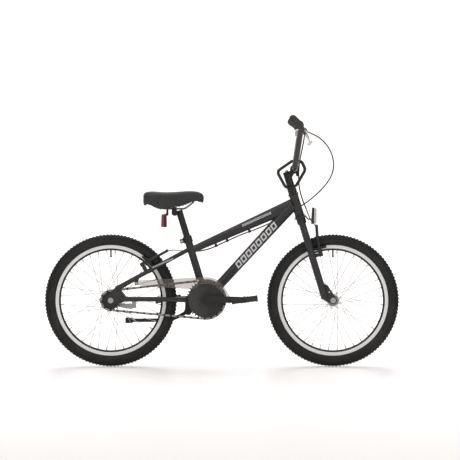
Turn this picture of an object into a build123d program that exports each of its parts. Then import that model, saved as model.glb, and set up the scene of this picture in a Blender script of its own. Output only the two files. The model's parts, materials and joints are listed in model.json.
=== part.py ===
from build123d import *
import os
from math import asin, atan2, cos, degrees, pi, radians, sin, sqrt, tan

# Bicycle frame axes: +X forward, +Y to the rider's left, +Z up.
# The origin is on the ground midway between the axles.
os.makedirs("parts", exist_ok=True)

# ---- driving dimensions (mm) ----
TYRE_RADIUS = 250.0
TYRE_SECTION = 47.0
TYRE_WALL = 3.5
RIM_FLANGE_RADIUS = 209.0
RIM_INNER_RADIUS = 189.0
RIM_WIDTH = 27.0
SPOKE_COUNT = 36
SPOKE_RADIUS = 1.0
HALF_WHEELBASE = 419.5
AXLE_RADIUS = 4.75
STUB_RADIUS = 4.55
STUB_LENGTH = 7.5
NUT_REACH = 10.0
FRONT_HUB_WIDTH = 100.0
REAR_HUB_WIDTH = 110.0
DROPOUT_THICKNESS = 4.0

PITCH = 12.7
RING_TEETH = 36
COG_TEETH = 18
LINKS = 84
CHAIN_Y = -40.0
BRACKET_RISE = 3.3
CRANK_LENGTH = 145.0
CRANK_INNER_Y = 58.0
CRANK_OUTER_Y = 70.0
BRACKET_AXLE_RADIUS = 8.5
BRACKET_SHELL_RADIUS = 20.0
BRACKET_SHELL_HALF = 34.0
PEDAL_LENGTH = 99.0
PEDAL_WIDTH = 92.0
PEDAL_THICKNESS = 21.0
PEDAL_TILT = 7.0

SEAT_ANGLE = 73.0
SEAT_TUBE_RADIUS = 14.3
SEAT_TUBE_LENGTH = 249.0
POST_RADIUS = 12.7
POST_TOP = 349.0
POST_INSERTED = 150.0
STEER_ANGLE = 73.1
HEAD_CENTRE = (282.1, 610.0)
HEAD_TUBE_RADIUS = 17.5
HEAD_TUBE_HALF = 39.5
STEERER_RADIUS = 12.7
QUILL_RADIUS = 11.05
LEG_RADIUS = 13.0
LEG_SIDE = 52.0
BAR_RADIUS = 11.1
CROSSBAR_RADIUS = 8.0
GRIP_RADIUS = 14.5
GRIP_LENGTH = 122.0
BELL_SHARE = 0.86
STAY_RADIUS = 8.2
CHAINSTAY_RADIUS = 8.75
CABLE_RADIUS = 2.5
WIRE_RADIUS = 0.8
RUN_FIT = 0.05
SEAT_GAP = 0.3

# ---- derived places ----
AXLE_Z = TYRE_RADIUS
REAR_AXLE = (-HALF_WHEELBASE, AXLE_Z)
FRONT_AXLE = (HALF_WHEELBASE, AXLE_Z)
RING_PITCH_R = PITCH / 2 / sin(pi / RING_TEETH)
COG_PITCH_R = PITCH / 2 / sin(pi / COG_TEETH)


def chain_centre_distance():
    """Distance between crank and hub centres that LINKS links of chain span."""
    half = (LINKS - (RING_TEETH + COG_TEETH) / 2) / 2
    spread = ((RING_TEETH - COG_TEETH) / 2 / pi) ** 2
    return PITCH / 2 * (half + sqrt(half ** 2 - 2 * spread))


CENTRES = chain_centre_distance()
BB = (REAR_AXLE[0] + sqrt(CENTRES ** 2 - BRACKET_RISE ** 2), AXLE_Z + BRACKET_RISE)
STEER_UP = Vector(-cos(radians(STEER_ANGLE)), 0, sin(radians(STEER_ANGLE)))
STEER_AHEAD = Vector(sin(radians(STEER_ANGLE)), 0, cos(radians(STEER_ANGLE)))
SEAT_UP = Vector(-cos(radians(SEAT_ANGLE)), 0, sin(radians(SEAT_ANGLE)))
LEFT = Vector(0, 1, 0)


# ---- small tools ----
def at(point, side=0.0):
    """A 3D point from a side-view point and a distance to the left."""
    return Vector(point[0], side, point[1])


def steer(along, ahead=0.0, side=0.0):
    """A point measured from the head tube's centre along the steering axis."""
    return at(HEAD_CENTRE, side) + STEER_UP * along + STEER_AHEAD * ahead


def seat_line(along, behind=0.0, side=0.0):
    """A point measured from the crank centre up the seat tube."""
    square = Vector(-SEAT_UP.Z, 0, SEAT_UP.X)
    return at(BB, side) + SEAT_UP * along + square * behind


def rod(a, b, radius):
    run = Vector(b) - Vector(a)
    return Solid.make_cylinder(radius, run.length, Plane(origin=Vector(a), z_dir=run))


def cone(a, b, radius_a, radius_b):
    run = Vector(b) - Vector(a)
    return Solid.make_cone(radius_a, radius_b, run.length, Plane(origin=Vector(a), z_dir=run))


def cross_rod(point, y0, y1, radius):
    return rod(at(point, y0), at(point, y1), radius)


def ring(point, y0, y1, radius, bore):
    return cross_rod(point, y0, y1, radius) - cross_rod(point, min(y0, y1) - 1, max(y0, y1) + 1, bore)


def bent_rod(points, bends, radius):
    """A round bar along straight runs joined by tangent arcs."""
    path = FilletPolyline(*[Vector(p) for p in points], radius=bends)
    start = Plane(origin=path @ 0, z_dir=path % 0)
    return sweep(start * Circle(radius), path=path)


def side_plate(points, y0, y1, corner=0.0):
    """A plate with a side-view outline, between two distances to the left."""
    face = make_face(Polyline(*[(x, z) for x, z in points], close=True))
    if corner:
        face = fillet(face.vertices(), corner)
    plane = Plane(origin=(0, y0, 0), x_dir=(1, 0, 0), z_dir=(0, -1, 0))
    return extrude(plane * face, amount=y0 - y1)


def hex_nut(point, y0, y1, across, bore):
    plane = Plane(origin=at(point, y0), x_dir=(1, 0, 0), z_dir=(0, 1 if y1 > y0 else -1, 0))
    body = extrude(plane * RegularPolygon(across / 2, 6, major_radius=False), amount=abs(y1 - y0))
    return body - cross_rod(point, min(y0, y1) - 1, max(y0, y1) + 1, bore)


def oval_tube(a, b, size_a, size_b):
    """A tube between two points that swells from one oval (height, width) to another."""
    run = Vector(b) - Vector(a)
    ends = []
    for point, (height, width) in ((a, size_a), (b, size_b)):
        plane = Plane(origin=Vector(point), x_dir=(0, 1, 0), z_dir=run)
        ends.append(plane * Ellipse(width / 2, height / 2))
    return loft(ends)


def both_sides(shape):
    return [shape, mirror(shape, about=Plane.XZ)]


def save(name, *pieces):
    solids = []
    for piece in pieces:
        solids += list(piece.solids())
    shape = solids[0] if len(solids) == 1 else Compound(solids)
    export_step(shape, f"parts/{name}.step")


# ---- wheels ----
def spun(outline, centre):
    """Turn a (radius, side) outline, made of edges, about a wheel's axle."""
    return Pos(centre[0], 0, centre[1]) * revolve(make_face(outline), axis=Axis.Y)


def tyre(centre):
    outer = TYRE_SECTION / 2
    middle = TYRE_RADIUS - outer
    inner = outer - TYRE_WALL
    drop = -15.0
    bead_r = RIM_FLANGE_RADIUS - 5.5
    bead_y = RIM_WIDTH / 2 - 2.3
    lip_r = RIM_FLANGE_RADIUS + 0.8
    out_y = sqrt(outer ** 2 - drop ** 2)
    in_y = sqrt(inner ** 2 - drop ** 2)
    outline = (
        Line((bead_r, -bead_y), (lip_r, -bead_y))
        + Line((lip_r, -bead_y), (middle + drop, -out_y))
        + ThreePointArc((middle + drop, -out_y), (middle + outer, 0), (middle + drop, out_y))
        + Line((middle + drop, out_y), (lip_r, bead_y))
        + Line((lip_r, bead_y), (bead_r, bead_y))
        + Line((bead_r, bead_y), (bead_r, bead_y - TYRE_WALL))
        + Line((bead_r, bead_y - TYRE_WALL), (lip_r, bead_y - TYRE_WALL))
        + Line((lip_r, bead_y - TYRE_WALL), (middle + drop, in_y))
        + ThreePointArc((middle + drop, in_y), (middle + inner, 0), (middle + drop, -in_y))
        + Line((middle + drop, -in_y), (lip_r, TYRE_WALL - bead_y))
        + Line((lip_r, TYRE_WALL - bead_y), (bead_r, TYRE_WALL - bead_y))
        + Line((bead_r, TYRE_WALL - bead_y), (bead_r, -bead_y))
    )
    return spun(outline, centre)


VALVE_RADIUS = 3.0


def inner_tube(centre):
    radius = 17.0
    middle = TYRE_RADIUS - TYRE_WALL - SEAT_GAP - radius
    plane = Plane(origin=at(centre), z_dir=(0, 1, 0))
    tube = Solid.make_torus(middle, radius, plane) - Solid.make_torus(middle, radius - 1.2, plane)
    stem_top = Vector(centre[0], 0, centre[1] + middle - radius + 0.6)
    stem_end = Vector(centre[0], 0, centre[1] + RIM_INNER_RADIUS - 21)
    cap_end = stem_end - Vector(0, 0, 5)
    return tube + rod(stem_top, stem_end, VALVE_RADIUS) + rod(stem_end, cap_end, VALVE_RADIUS + 0.8)


def rim(centre):
    half = RIM_WIDTH / 2
    wall = 2.0
    bed = RIM_FLANGE_RADIUS - 7
    points = [
        (RIM_FLANGE_RADIUS, -half), (RIM_FLANGE_RADIUS, wall - half), (bed, wall - half),
        (bed - 3, 3 - half + 2), (bed - 3, half - 5), (bed, half - wall), (RIM_FLANGE_RADIUS, half - wall),
        (RIM_FLANGE_RADIUS, half), (RIM_INNER_RADIUS + 7, half), (RIM_INNER_RADIUS, half - 5),
        (RIM_INNER_RADIUS, 5 - half), (RIM_INNER_RADIUS + 7, -half),
    ]
    body = spun(Polyline(*points, close=True), centre)
    hole_top = Vector(centre[0], 0, centre[1] + RIM_FLANGE_RADIUS)
    hole_end = Vector(centre[0], 0, centre[1] + RIM_INNER_RADIUS - 5)
    return body - rod(hole_top, hole_end, VALVE_RADIUS + 0.4)


def spokes(centre, flange_y, hole_radius):
    """Three-cross lacing: each flange's spokes lean alternately forwards and backwards."""
    made = []
    step = 720.0 / SPOKE_COUNT
    inside = 1.5 + SPOKE_RADIUS + SEAT_GAP
    outside = inside + 1.5
    for side in (1, -1):
        turn = 5.0 if side > 0 else 15.0
        for i in range(SPOKE_COUNT // 2):
            lean = 60.0 if i % 2 else -60.0
            hub_angle = radians(turn + i * step)
            rim_angle = radians(turn + i * step + lean)
            hub_y = side * (flange_y + (outside if i % 2 else -inside))
            near = Vector(hole_radius * cos(hub_angle), hub_y, hole_radius * sin(hub_angle))
            end_r = RIM_INNER_RADIUS - SEAT_GAP
            far = Vector(end_r * cos(rim_angle), side * 4.0, end_r * sin(rim_angle))
            shift = at(centre)
            made.append(rod(near + shift, far + shift, SPOKE_RADIUS))
    return made


def front_hub():
    centre = FRONT_AXLE
    body = ring(centre, -36, 36, 15.0, AXLE_RADIUS + RUN_FIT)
    for side in (1, -1):
        body += ring(centre, side * 30.5, side * 33.5, 22.0, AXLE_RADIUS + RUN_FIT)
    return body


def rear_hub():
    centre = REAR_AXLE
    body = ring(centre, -32, 38, 25.0, AXLE_RADIUS + RUN_FIT)
    for side in (1, -1):
        body += ring(centre, side * 28.5, side * 31.5, 34.0, AXLE_RADIUS + RUN_FIT)
    return body


FRONT_FLANGE_Y = 32.0
REAR_FLANGE_Y = 30.0


def axle_set(centre, hub_width, right_spacer, left_spacer):
    """Axle, the cones that clamp the dropouts, and the flanged nuts outside them."""
    half = hub_width / 2
    outer = half + DROPOUT_THICKNESS
    bore = AXLE_RADIUS + RUN_FIT
    shoulder = outer + NUT_REACH + 0.5
    axle = cross_rod(centre, -shoulder, shoulder, AXLE_RADIUS)
    axle += cross_rod(centre, -shoulder - STUB_LENGTH, shoulder + STUB_LENGTH, STUB_RADIUS)
    pieces = [axle]
    pieces.append(ring(centre, -half + 0.1, -right_spacer, 8.5, bore))
    pieces.append(ring(centre, half - 0.1, left_spacer, 8.5, bore))
    for side in (1, -1):
        pieces.append(ring(centre, side * (outer + 0.1), side * (outer + 2.1), 10.5, bore))
        pieces.append(hex_nut(centre, side * (outer + 2.2), side * (outer + NUT_REACH), 15.0, bore))
    return pieces


# ---- drive ----
def toothed_wheel(centre, teeth, phase, bore, thickness=3.0):
    """A chain wheel whose tooth gaps lie at phase plus whole steps, in degrees."""
    pitch_r = PITCH / 2 / sin(pi / teeth)
    tip = 3.4
    tip_half_gap = PITCH / 2 * (pitch_r + tip) / pitch_r - 1.1
    flank = [(1.9, -4.3), (3.9, -1.7), (4.25, 0.0), (tip_half_gap, tip)]
    points = []
    for k in range(teeth):
        middle = radians(phase + k * 360.0 / teeth)
        for across, rise in [(-a, r) for a, r in reversed(flank)] + flank:
            angle = middle + atan2(across, pitch_r + rise)
            reach = sqrt(across ** 2 + (pitch_r + rise) ** 2)
            points.append((reach * cos(angle), reach * sin(angle)))
    outline = [(centre[0] + x, centre[1] + z) for x, z in points]
    plate = side_plate(outline, CHAIN_Y - thickness / 2, CHAIN_Y + thickness / 2)
    return plate - cross_rod(centre, CHAIN_Y - 9, CHAIN_Y + 9, bore)


def chain_route():
    """Roller centres on the closed pitch line, and the angle of one roller on each wheel."""
    rear, front = Vector(REAR_AXLE[0], REAR_AXLE[1]), Vector(BB[0], BB[1])
    span = front - rear
    base = atan2(span.Y, span.X)
    lean = asin((RING_PITCH_R - COG_PITCH_R) / span.length)
    straight = span.length * cos(lean)
    top = base + lean + pi / 2
    low = base - lean - pi / 2
    ring_wrap = RING_PITCH_R * (top - low)
    cog_wrap = COG_PITCH_R * (2 * pi - (top - low))
    total = ring_wrap + cog_wrap + 2 * straight
    step = total / LINKS
    middle_of_ring = (top + low) / 2
    start = ring_wrap / 2

    def place(length):
        length = length % total
        if length < ring_wrap:
            angle = top - length / RING_PITCH_R
            return front + Vector(cos(angle), sin(angle)) * RING_PITCH_R, angle
        length -= ring_wrap
        foot = Vector(cos(low), sin(low))
        if length < straight:
            along = length / straight
            return (front + foot * RING_PITCH_R) * (1 - along) + (rear + foot * COG_PITCH_R) * along, None
        length -= straight
        if length < cog_wrap:
            angle = low - length / COG_PITCH_R
            return rear + Vector(cos(angle), sin(angle)) * COG_PITCH_R, angle
        length -= cog_wrap
        head = Vector(cos(top), sin(top))
        along = length / straight
        return (rear + head * COG_PITCH_R) * (1 - along) + (front + head * RING_PITCH_R) * along, None

    spots = [place(start + i * step) for i in range(LINKS)]
    middle_cog = ring_wrap + straight + cog_wrap / 2
    nearest = min(range(LINKS), key=lambda i: abs((start + i * step) % total - middle_cog))
    return [p for p, _ in spots], degrees(middle_of_ring), degrees(spots[nearest][1])


def link_plate(y0, y1, length):
    outline = SlotOverall(length + 8.2, 8.2)
    plane = Plane(origin=(0, y0, 0), x_dir=(1, 0, 0), z_dir=(0, -1, 0))
    return extrude(plane * outline, amount=y0 - y1)


def chain(points):
    pin = 1.75
    count = len(points)
    links = []
    for i in range(count):
        a, b = points[i], points[(i + 1) % count]
        gap = (b - a).length
        holes = [(-gap / 2, 0), (gap / 2, 0)]
        if i % 2:
            link = link_plate(2.75, 3.75, gap) + link_plate(-3.75, -2.75, gap)
            for hole in holes:
                link += cross_rod(hole, -4.8, 4.8, pin)
        else:
            link = link_plate(1.65, 2.65, gap) + link_plate(-2.65, -1.65, gap)
            for hole in holes:
                link += cross_rod(hole, -1.65, 1.65, 3.85)
            for hole in holes:
                link -= cross_rod(hole, -5, 5, pin + 0.1)
        middle = (a + b) / 2
        tilt = degrees(atan2((b - a).Y, (b - a).X))
        links.append(Location((middle.X, CHAIN_Y, middle.Y), (0, -tilt, 0)) * link)
    return links


BOSS_RADIUS = 15.5
PEDAL_EYE_RADIUS = 13.0
SPINDLE_THREAD_R = 7.0
SPINDLE_RADIUS = 6.0
DISC_RADIUS = 68.0
DISC_Y = -46.5


def pedal_centre(side):
    return (BB[0] - side * CRANK_LENGTH, BB[1])


def crank_arm(side):
    """side is -1 for the right arm, which points forwards, and +1 for the left."""
    eye = pedal_centre(side)
    inner, outer = side * CRANK_INNER_Y, side * CRANK_OUTER_Y
    boss_start = CHAIN_Y + 3.5 if side < 0 else 48.0
    arm = cross_rod(BB, boss_start, outer + side * 2, BOSS_RADIUS)
    arm += cross_rod(eye, inner, outer, PEDAL_EYE_RADIUS)
    along = 1 if eye[0] > BB[0] else -1
    web = [(BB[0], BB[1] + 14), (eye[0], eye[1] + 10.5), (eye[0], eye[1] - 10.5), (BB[0], BB[1] - 14)]
    arm += side_plate(web if along > 0 else web[::-1], inner, outer)
    arm -= cross_rod(BB, side * 30, side * 80, BRACKET_AXLE_RADIUS + RUN_FIT)
    return arm - cross_rod(eye, side * 50, side * 80, SPINDLE_THREAD_R + RUN_FIT)


def disc_guard():
    disc = ring(BB, DISC_Y, DISC_Y - 2.5, DISC_RADIUS, BOSS_RADIUS + 0.1)
    disc += ring(BB, DISC_Y + 2.5, DISC_Y - 1, DISC_RADIUS, DISC_RADIUS - 2)
    for k in range(5):
        angle = radians(90 + 72 * k)
        spot = (BB[0] + 46 * cos(angle), BB[1] + 46 * sin(angle))
        disc += cross_rod(spot, CHAIN_Y - 1.5, DISC_Y - 1, 5)
    return disc


def crank_axle():
    ends = CRANK_OUTER_Y - 2
    pieces = [cross_rod(BB, -ends, ends, BRACKET_AXLE_RADIUS)]
    for side in (1, -1):
        pieces.append(cross_rod(BB, side * (ends + 0.1), side * (ends + 5), 7.5))
    return pieces


def pedal_axle(side):
    eye = pedal_centre(side)
    outer = side * CRANK_OUTER_Y
    axle = cross_rod(eye, side * CRANK_INNER_Y, outer, SPINDLE_THREAD_R)
    axle += cross_rod(eye, outer + side * 0.2, outer + side * 3, 9.0)
    axle += cross_rod(eye, outer - side, outer + side * (6 + PEDAL_WIDTH), SPINDLE_RADIUS)
    return axle


def pedal(side):
    """A cage platform round a centre barrel, tilted front up."""
    half = PEDAL_LENGTH / 2
    mid_y = side * (CRANK_OUTER_Y + 4 + PEDAL_WIDTH / 2)
    frame = Box(PEDAL_LENGTH, PEDAL_WIDTH, PEDAL_THICKNESS)
    frame = fillet(frame.edges().filter_by(Axis.Z), 12)
    window = (half - 10 - 12, PEDAL_WIDTH / 2 - 9)
    for x in (-1, 1):
        for y in (-1, 1):
            spot = Pos(x * (12 + window[0] / 2), y * (3.5 + window[1] / 2), 0)
            frame -= spot * Box(window[0], window[1], PEDAL_THICKNESS + 2)
    for x in (-half + 5, -12, 12, half - 5):
        for y in (-PEDAL_WIDTH / 2 + 14, 0, PEDAL_WIDTH / 2 - 14):
            frame += Pos(x, y, 0) * Cylinder(1.8, PEDAL_THICKNESS + 4)
    frame -= Rot(90, 0, 0) * Cylinder(SPINDLE_RADIUS + RUN_FIT, PEDAL_WIDTH + 20)
    eye = pedal_centre(side)
    return Location((eye[0], mid_y, eye[1]), (0, -PEDAL_TILT, 0)) * frame


GUARD_Y = -52.5
GUARD_EYE = (-322.9, 314.5)
GUARD_TAB = (-91.0, 325.0)


def chain_guard():
    """A clear side plate over the upper run with a flange along its top."""
    reach, hollow, skin = 84.7, 60.0, 2.0
    end = radians(38)
    rear_top = (-312.0, 326.0)
    crest = (BB[0], BB[1] + reach)
    shoulder = (BB[0] + reach * cos(end), BB[1] + reach * sin(end))
    knee = (BB[0] + reach * cos(end / 2 + pi / 4), BB[1] + reach * sin(end / 2 + pi / 4))
    toe = (BB[0] + 91.0, BB[1] + 9)
    foot = (BB[0] + 91.5, BB[1] - 15)
    top = Line(rear_top, crest) + ThreePointArc(crest, knee, shoulder) + Line(shoulder, toe) + Line(toe, foot)

    def inner(angle):
        return (BB[0] + hollow * cos(angle), BB[1] + hollow * sin(angle))

    back = radians(140)
    low = (
        Line(foot, (foot[0] - 11, foot[1]))
        + Line((foot[0] - 11, foot[1]), (toe[0] - 11, toe[1]))
        + Line((toe[0] - 11, toe[1]), inner(end))
        + ThreePointArc(inner(end), inner((end + back) / 2), inner(back))
        + Line(inner(back), (-300.0, 304.0))
        + Line((-300.0, 304.0), (-318.0, 309.0))
        + Line((-318.0, 309.0), rear_top)
    )
    plane = Plane(origin=(0, GUARD_Y, 0), x_dir=(1, 0, 0), z_dir=(0, -1, 0))
    plate = extrude(plane * make_face(top + low), amount=skin)
    plate += cross_rod(GUARD_EYE, GUARD_Y, GUARD_Y - skin, 7.0)
    small = (reach - skin) / reach

    def shrunk(point):
        return (BB[0] + (point[0] - BB[0]) * small, BB[1] + (point[1] - BB[1]) * small)

    under = (
        Line(foot, (foot[0] - skin, foot[1]))
        + Line((foot[0] - skin, foot[1]), shrunk(toe))
        + Line(shrunk(toe), shrunk(shoulder))
        + ThreePointArc(shrunk(shoulder), shrunk(knee), shrunk(crest))
        + Line(shrunk(crest), (rear_top[0], rear_top[1] - skin))
        + Line((rear_top[0], rear_top[1] - skin), rear_top)
    )
    flange_plane = Plane(origin=(0, -34, 0), x_dir=(1, 0, 0), z_dir=(0, -1, 0))
    plate += extrude(flange_plane * make_face(top + under), amount=-34 - GUARD_Y + skin)
    for eye in (GUARD_EYE, GUARD_TAB):
        plate -= cross_rod(eye, GUARD_Y + 5, GUARD_Y - 5, 2.6)
    return plate


# ---- frame ----
TOP_TUBE = ((-112.0, 440.5), (266.0, 611.0))
DOWN_TUBE_END = (268.0, 609.0)
STAY_LOW = (-395.0, 297.0)
STAY_HIGH = (-124.0, 443.2)
STAY_UP = Vector(STAY_HIGH[0] - STAY_LOW[0], 0, STAY_HIGH[1] - STAY_LOW[1]).normalized()
STAY_OUT = Vector(-STAY_UP.Z, 0, STAY_UP.X)
REAR_PIVOT_AT = 125.8
REAR_ARM_OFFSET = 33.9
FRONT_PIVOT_ALONG = -203.8
FRONT_ARM_OFFSET = 34.1
PIVOT_SIDE = 40.0
BOSS_PIN_RADIUS = 4.0


def rear_stay_point(along, side=0.0, out=0.0):
    return at(STAY_LOW, side) + STAY_UP * along + STAY_OUT * out


def rear_arm_point(up, side, out=0.0):
    """A point on the rear brake arms: distance above the pivot, side, and behind the arms' middle."""
    return rear_stay_point(REAR_PIVOT_AT + up, side, REAR_ARM_OFFSET + out)


def front_arm_point(up, side, out=0.0):
    return steer(FRONT_PIVOT_ALONG + up, FRONT_ARM_OFFSET + out, side)


def seat_stay(side):
    points = [
        rear_stay_point(0, side * 57), rear_stay_point(100, side * 49),
        rear_stay_point(200, side * 40), rear_stay_point(308, side * 12),
    ]
    return bent_rod(points, [150, 60], STAY_RADIUS)


CHAINSTAY_PATH = [(-385.0, 254.5), (-300.0, 254.3), (-205.0, 254.0), (-140.0, 253.8), (BB[0] - 5, 253.5)]
CHAINSTAY_SIDES = [57.0, 48.5, 38.5, 25.0, 19.0]


def chain_stay(side):
    points = [at(spot, side * out) for spot, out in zip(CHAINSTAY_PATH, CHAINSTAY_SIDES)]
    return bent_rod(points, [120, 90, 60], CHAINSTAY_RADIUS)


def rear_dropout(side):
    inner = side * REAR_HUB_WIDTH / 2
    outer = inner + side * DROPOUT_THICKNESS
    points = [
        (-436.0, 243.0), (-436.0, 262.0), (-411.8, 289.0), (-397.0, 306.0), (-326.0, 337.0),
        (-322.0, 326.0), (-383.0, 290.0), (-364.0, 266.0), (-364.0, 246.0), (-393.0, 236.0), (-420.0, 233.0),
    ]
    plate = side_plate(points, inner, outer, 3.0)
    slot = cross_rod(REAR_AXLE, side * 50, side * 65, AXLE_RADIUS + SEAT_GAP)
    slot += side_plate(
        [(REAR_AXLE[0], AXLE_Z + 5.05), (REAR_AXLE[0] - 30, AXLE_Z + 5.05),
         (REAR_AXLE[0] - 30, AXLE_Z - 5.05), (REAR_AXLE[0], AXLE_Z - 5.05)], side * 50, side * 65)
    return plate - slot


def brake_boss(foot, pivot, tip):
    """A stud that stands out of a stay or fork leg and carries one brake arm."""
    return rod(foot, pivot, 7.0) + rod(pivot, tip, BOSS_PIN_RADIUS)


def main_frame():
    frame = oval_tube(at(TOP_TUBE[0]), at(TOP_TUBE[1]), (26, 24), (47, 33))
    frame += oval_tube(at(BB), at(DOWN_TUBE_END), (34, 34), (41, 38))
    frame += rod(at(BB), seat_line(SEAT_TUBE_LENGTH), SEAT_TUBE_RADIUS)
    frame += rod(steer(-HEAD_TUBE_HALF), steer(HEAD_TUBE_HALF), HEAD_TUBE_RADIUS)
    frame += cross_rod(BB, -BRACKET_SHELL_HALF, BRACKET_SHELL_HALF, BRACKET_SHELL_RADIUS)
    for side in (1, -1):
        frame += seat_stay(side)
        frame += chain_stay(side)
        frame += rear_dropout(side)
        foot = rear_arm_point(0, side * PIVOT_SIDE, -REAR_ARM_OFFSET)
        pin_ends = [rear_arm_point(0, side * PIVOT_SIDE, out) for out in (-7.5, 7.5)]
        frame += brake_boss(foot, *pin_ends)
    frame += rod(rear_stay_point(262, -30), rear_stay_point(262, 30), 6.0)
    frame += cross_rod((-160.0, 253.9), -30, 30, 6.0)
    tab = [(-318.0, 308.0), (-328.0, 308.0), (-332.0, 330.0), (-310.0, 342.0)]
    frame += side_plate(tab, -48.5, -52.2)
    lug = [(-98.0, 318.0), (-84.0, 319.0), (-84.0, 333.8), (-98.0, 333.8)]
    frame += side_plate(lug, -48.9, -52.2)
    frame += side_plate([(-98.0, 331.2), (-84.0, 331.2), (-84.0, 333.8), (-98.0, 333.8)], -8, -52.2)
    frame -= rod(seat_line(26), seat_line(SEAT_TUBE_LENGTH + 10), POST_RADIUS + RUN_FIT)
    frame -= rod(steer(-60), steer(60), HEAD_TUBE_RADIUS - 2.2)
    frame -= cross_rod(BB, -60, 60, BRACKET_SHELL_RADIUS - 3)
    frame -= cross_rod(GUARD_EYE, -40, -60, 2.2)
    frame -= cross_rod(GUARD_TAB, -45, -60, 2.2)
    top_run = (at(TOP_TUBE[1]) - at(TOP_TUBE[0])).normalized()
    frame -= oval_tube(at(TOP_TUBE[0]) + top_run * 22, at(TOP_TUBE[1]) - top_run * 60, (22, 20), (36, 28))
    down_run = (at(DOWN_TUBE_END) - at(BB)).normalized()
    frame -= oval_tube(at(BB) + down_run * 40, at(DOWN_TUBE_END) - down_run * 60, (30, 30), (36, 33))
    return frame


def headset_bearings():
    pieces = []
    for end in (1, -1):
        near, far = steer(end * (HEAD_TUBE_HALF - 8)), steer(end * (HEAD_TUBE_HALF + 6))
        cup = rod(near, far, HEAD_TUBE_RADIUS - 2.25)
        cup += rod(steer(end * (HEAD_TUBE_HALF + 0.1)), far, HEAD_TUBE_RADIUS + 2.5)
        cup -= rod(steer(end * 10), steer(end * 60), STEERER_RADIUS + 0.15)
        pieces.append(cup)
    return pieces


def bracket_cups():
    pieces = []
    for side in (1, -1):
        cup = cross_rod(BB, side * 22, side * (BRACKET_SHELL_HALF + 3), BRACKET_SHELL_RADIUS - 3.05)
        cup += cross_rod(BB, side * (BRACKET_SHELL_HALF + 0.1), side * (BRACKET_SHELL_HALF + 3), 18.5)
        if side < 0:
            cup -= cross_rod(BB, CHAIN_Y + 3.6, CHAIN_Y + 1, 30)
        cup -= cross_rod(BB, side * 10, side * 60, BRACKET_AXLE_RADIUS + RUN_FIT)
        pieces.append(cup)
    return pieces


CLAMP_BOLT = seat_line(SEAT_TUBE_LENGTH - 12, 24)


def seat_collar():
    low, high = SEAT_TUBE_LENGTH - 24, SEAT_TUBE_LENGTH + 1
    collar = rod(seat_line(low), seat_line(high), SEAT_TUBE_RADIUS + 3)
    ear = side_plate(
        [(p.X, p.Z) for p in (seat_line(low + 4, 10), seat_line(low + 4, 31),
                              seat_line(high - 4, 31), seat_line(high - 4, 10))], -9, 9)
    collar += ear
    collar -= rod(seat_line(low - 5), seat_line(high + 5), SEAT_TUBE_RADIUS + RUN_FIT)
    spot = (CLAMP_BOLT.X, CLAMP_BOLT.Z)
    collar -= side_plate(
        [(p.X, p.Z) for p in (seat_line(low - 5, 8), seat_line(low - 5, 40),
                              seat_line(high + 5, 40), seat_line(high + 5, 8))], -1.5, 1.5)
    return collar - cross_rod(spot, -20, 20, 3.1)


KICK_PIVOT = Vector(-132.0, 46.0, 206.0)
KICK_AXIS = Vector(0.2937, -0.9279, -0.2300).normalized()
KICK_PIN_RADIUS = 4.0


def kickstand_bracket():
    """Lower clamp plate with a cheek and hinge pin, and the plate above the chain stays."""
    low = Box(42, 64, 5)
    low = Pos(-118, 0, BB[1] - CHAINSTAY_RADIUS - 2.4) * low
    low += side_plate([(-139, 241), (-98, 241), (-104, 214), (-122, 194), (-141, 197)], 24, 31)
    low += rod(KICK_PIVOT + KICK_AXIS * 18, KICK_PIVOT + KICK_AXIS * 7.4, 9.0)
    low += rod(KICK_PIVOT + KICK_AXIS * 18, KICK_PIVOT - KICK_AXIS * 8, KICK_PIN_RADIUS)
    high = Pos(-118, 0, BB[1] + CHAINSTAY_RADIUS + 2.9) * Box(38, 52, 4)
    bolt = rod((-118, 0, BB[1] + CHAINSTAY_RADIUS + 5), (-118, 0, BB[1] - CHAINSTAY_RADIUS - 5.1), 4.0)
    bolt_room = rod((-118, 0, 200), (-118, 0, 300), 4.1)
    return [low - bolt_room, high - bolt_room], bolt


def kickstand_leg():
    leg = bent_rod(
        [KICK_PIVOT, (-156, 47, 192), (-196, 47, 174.5), (-352, 47, 173.5)], [18, 60], 7.0)
    leg += rod(KICK_PIVOT - KICK_AXIS * 7, KICK_PIVOT + KICK_AXIS * 7, 10.5)
    return leg - rod(KICK_PIVOT - KICK_AXIS * 12, KICK_PIVOT + KICK_AXIS * 12, KICK_PIN_RADIUS + RUN_FIT)


def kickstand_foot():
    foot = rod((-338, 47, 173.6), (-366, 47, 173.4), 11.0)
    foot = fillet(foot.edges(), 3)
    return foot - rod((-330, 47, 173.65), (-352.2, 47, 173.5), 7.0 + RUN_FIT)


def coaster_arm():
    """Reaction arm from the left of the hub to a strap on the left chain stay."""
    arm = side_plate(
        [(-430, 243), (-424, 261), (-408, 256), (-388, 239), (-328, 235), (-322, 222),
         (-345, 216), (-400, 226)], 45.2, 48.2, 3)
    arm += ring(REAR_AXLE, 45.2, 48.2, 14.0, AXLE_RADIUS + RUN_FIT)
    arm -= cross_rod(REAR_AXLE, 40, 52, AXLE_RADIUS + RUN_FIT)
    arm -= cross_rod((-333.0, 228.0), 40, 52, 3.1)
    stay_from, stay_to = at(CHAINSTAY_PATH[0], CHAINSTAY_SIDES[0]), at(CHAINSTAY_PATH[1], CHAINSTAY_SIDES[1])
    run = (stay_to - stay_from).normalized()
    middle = stay_from + run * 52
    strap = rod(middle - run * 8, middle + run * 8, CHAINSTAY_RADIUS + 2.2)
    room = rod(middle - run * 20, middle + run * 20, CHAINSTAY_RADIUS + SEAT_GAP)
    strap -= room
    tail = side_plate([(-341, 250), (-325, 250), (-325, 222), (-341, 222)], 48.5, 50.5) - room
    tail -= cross_rod((-333.0, 228.0), 40, 62, 3.1)
    return [arm, strap + tail]


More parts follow.
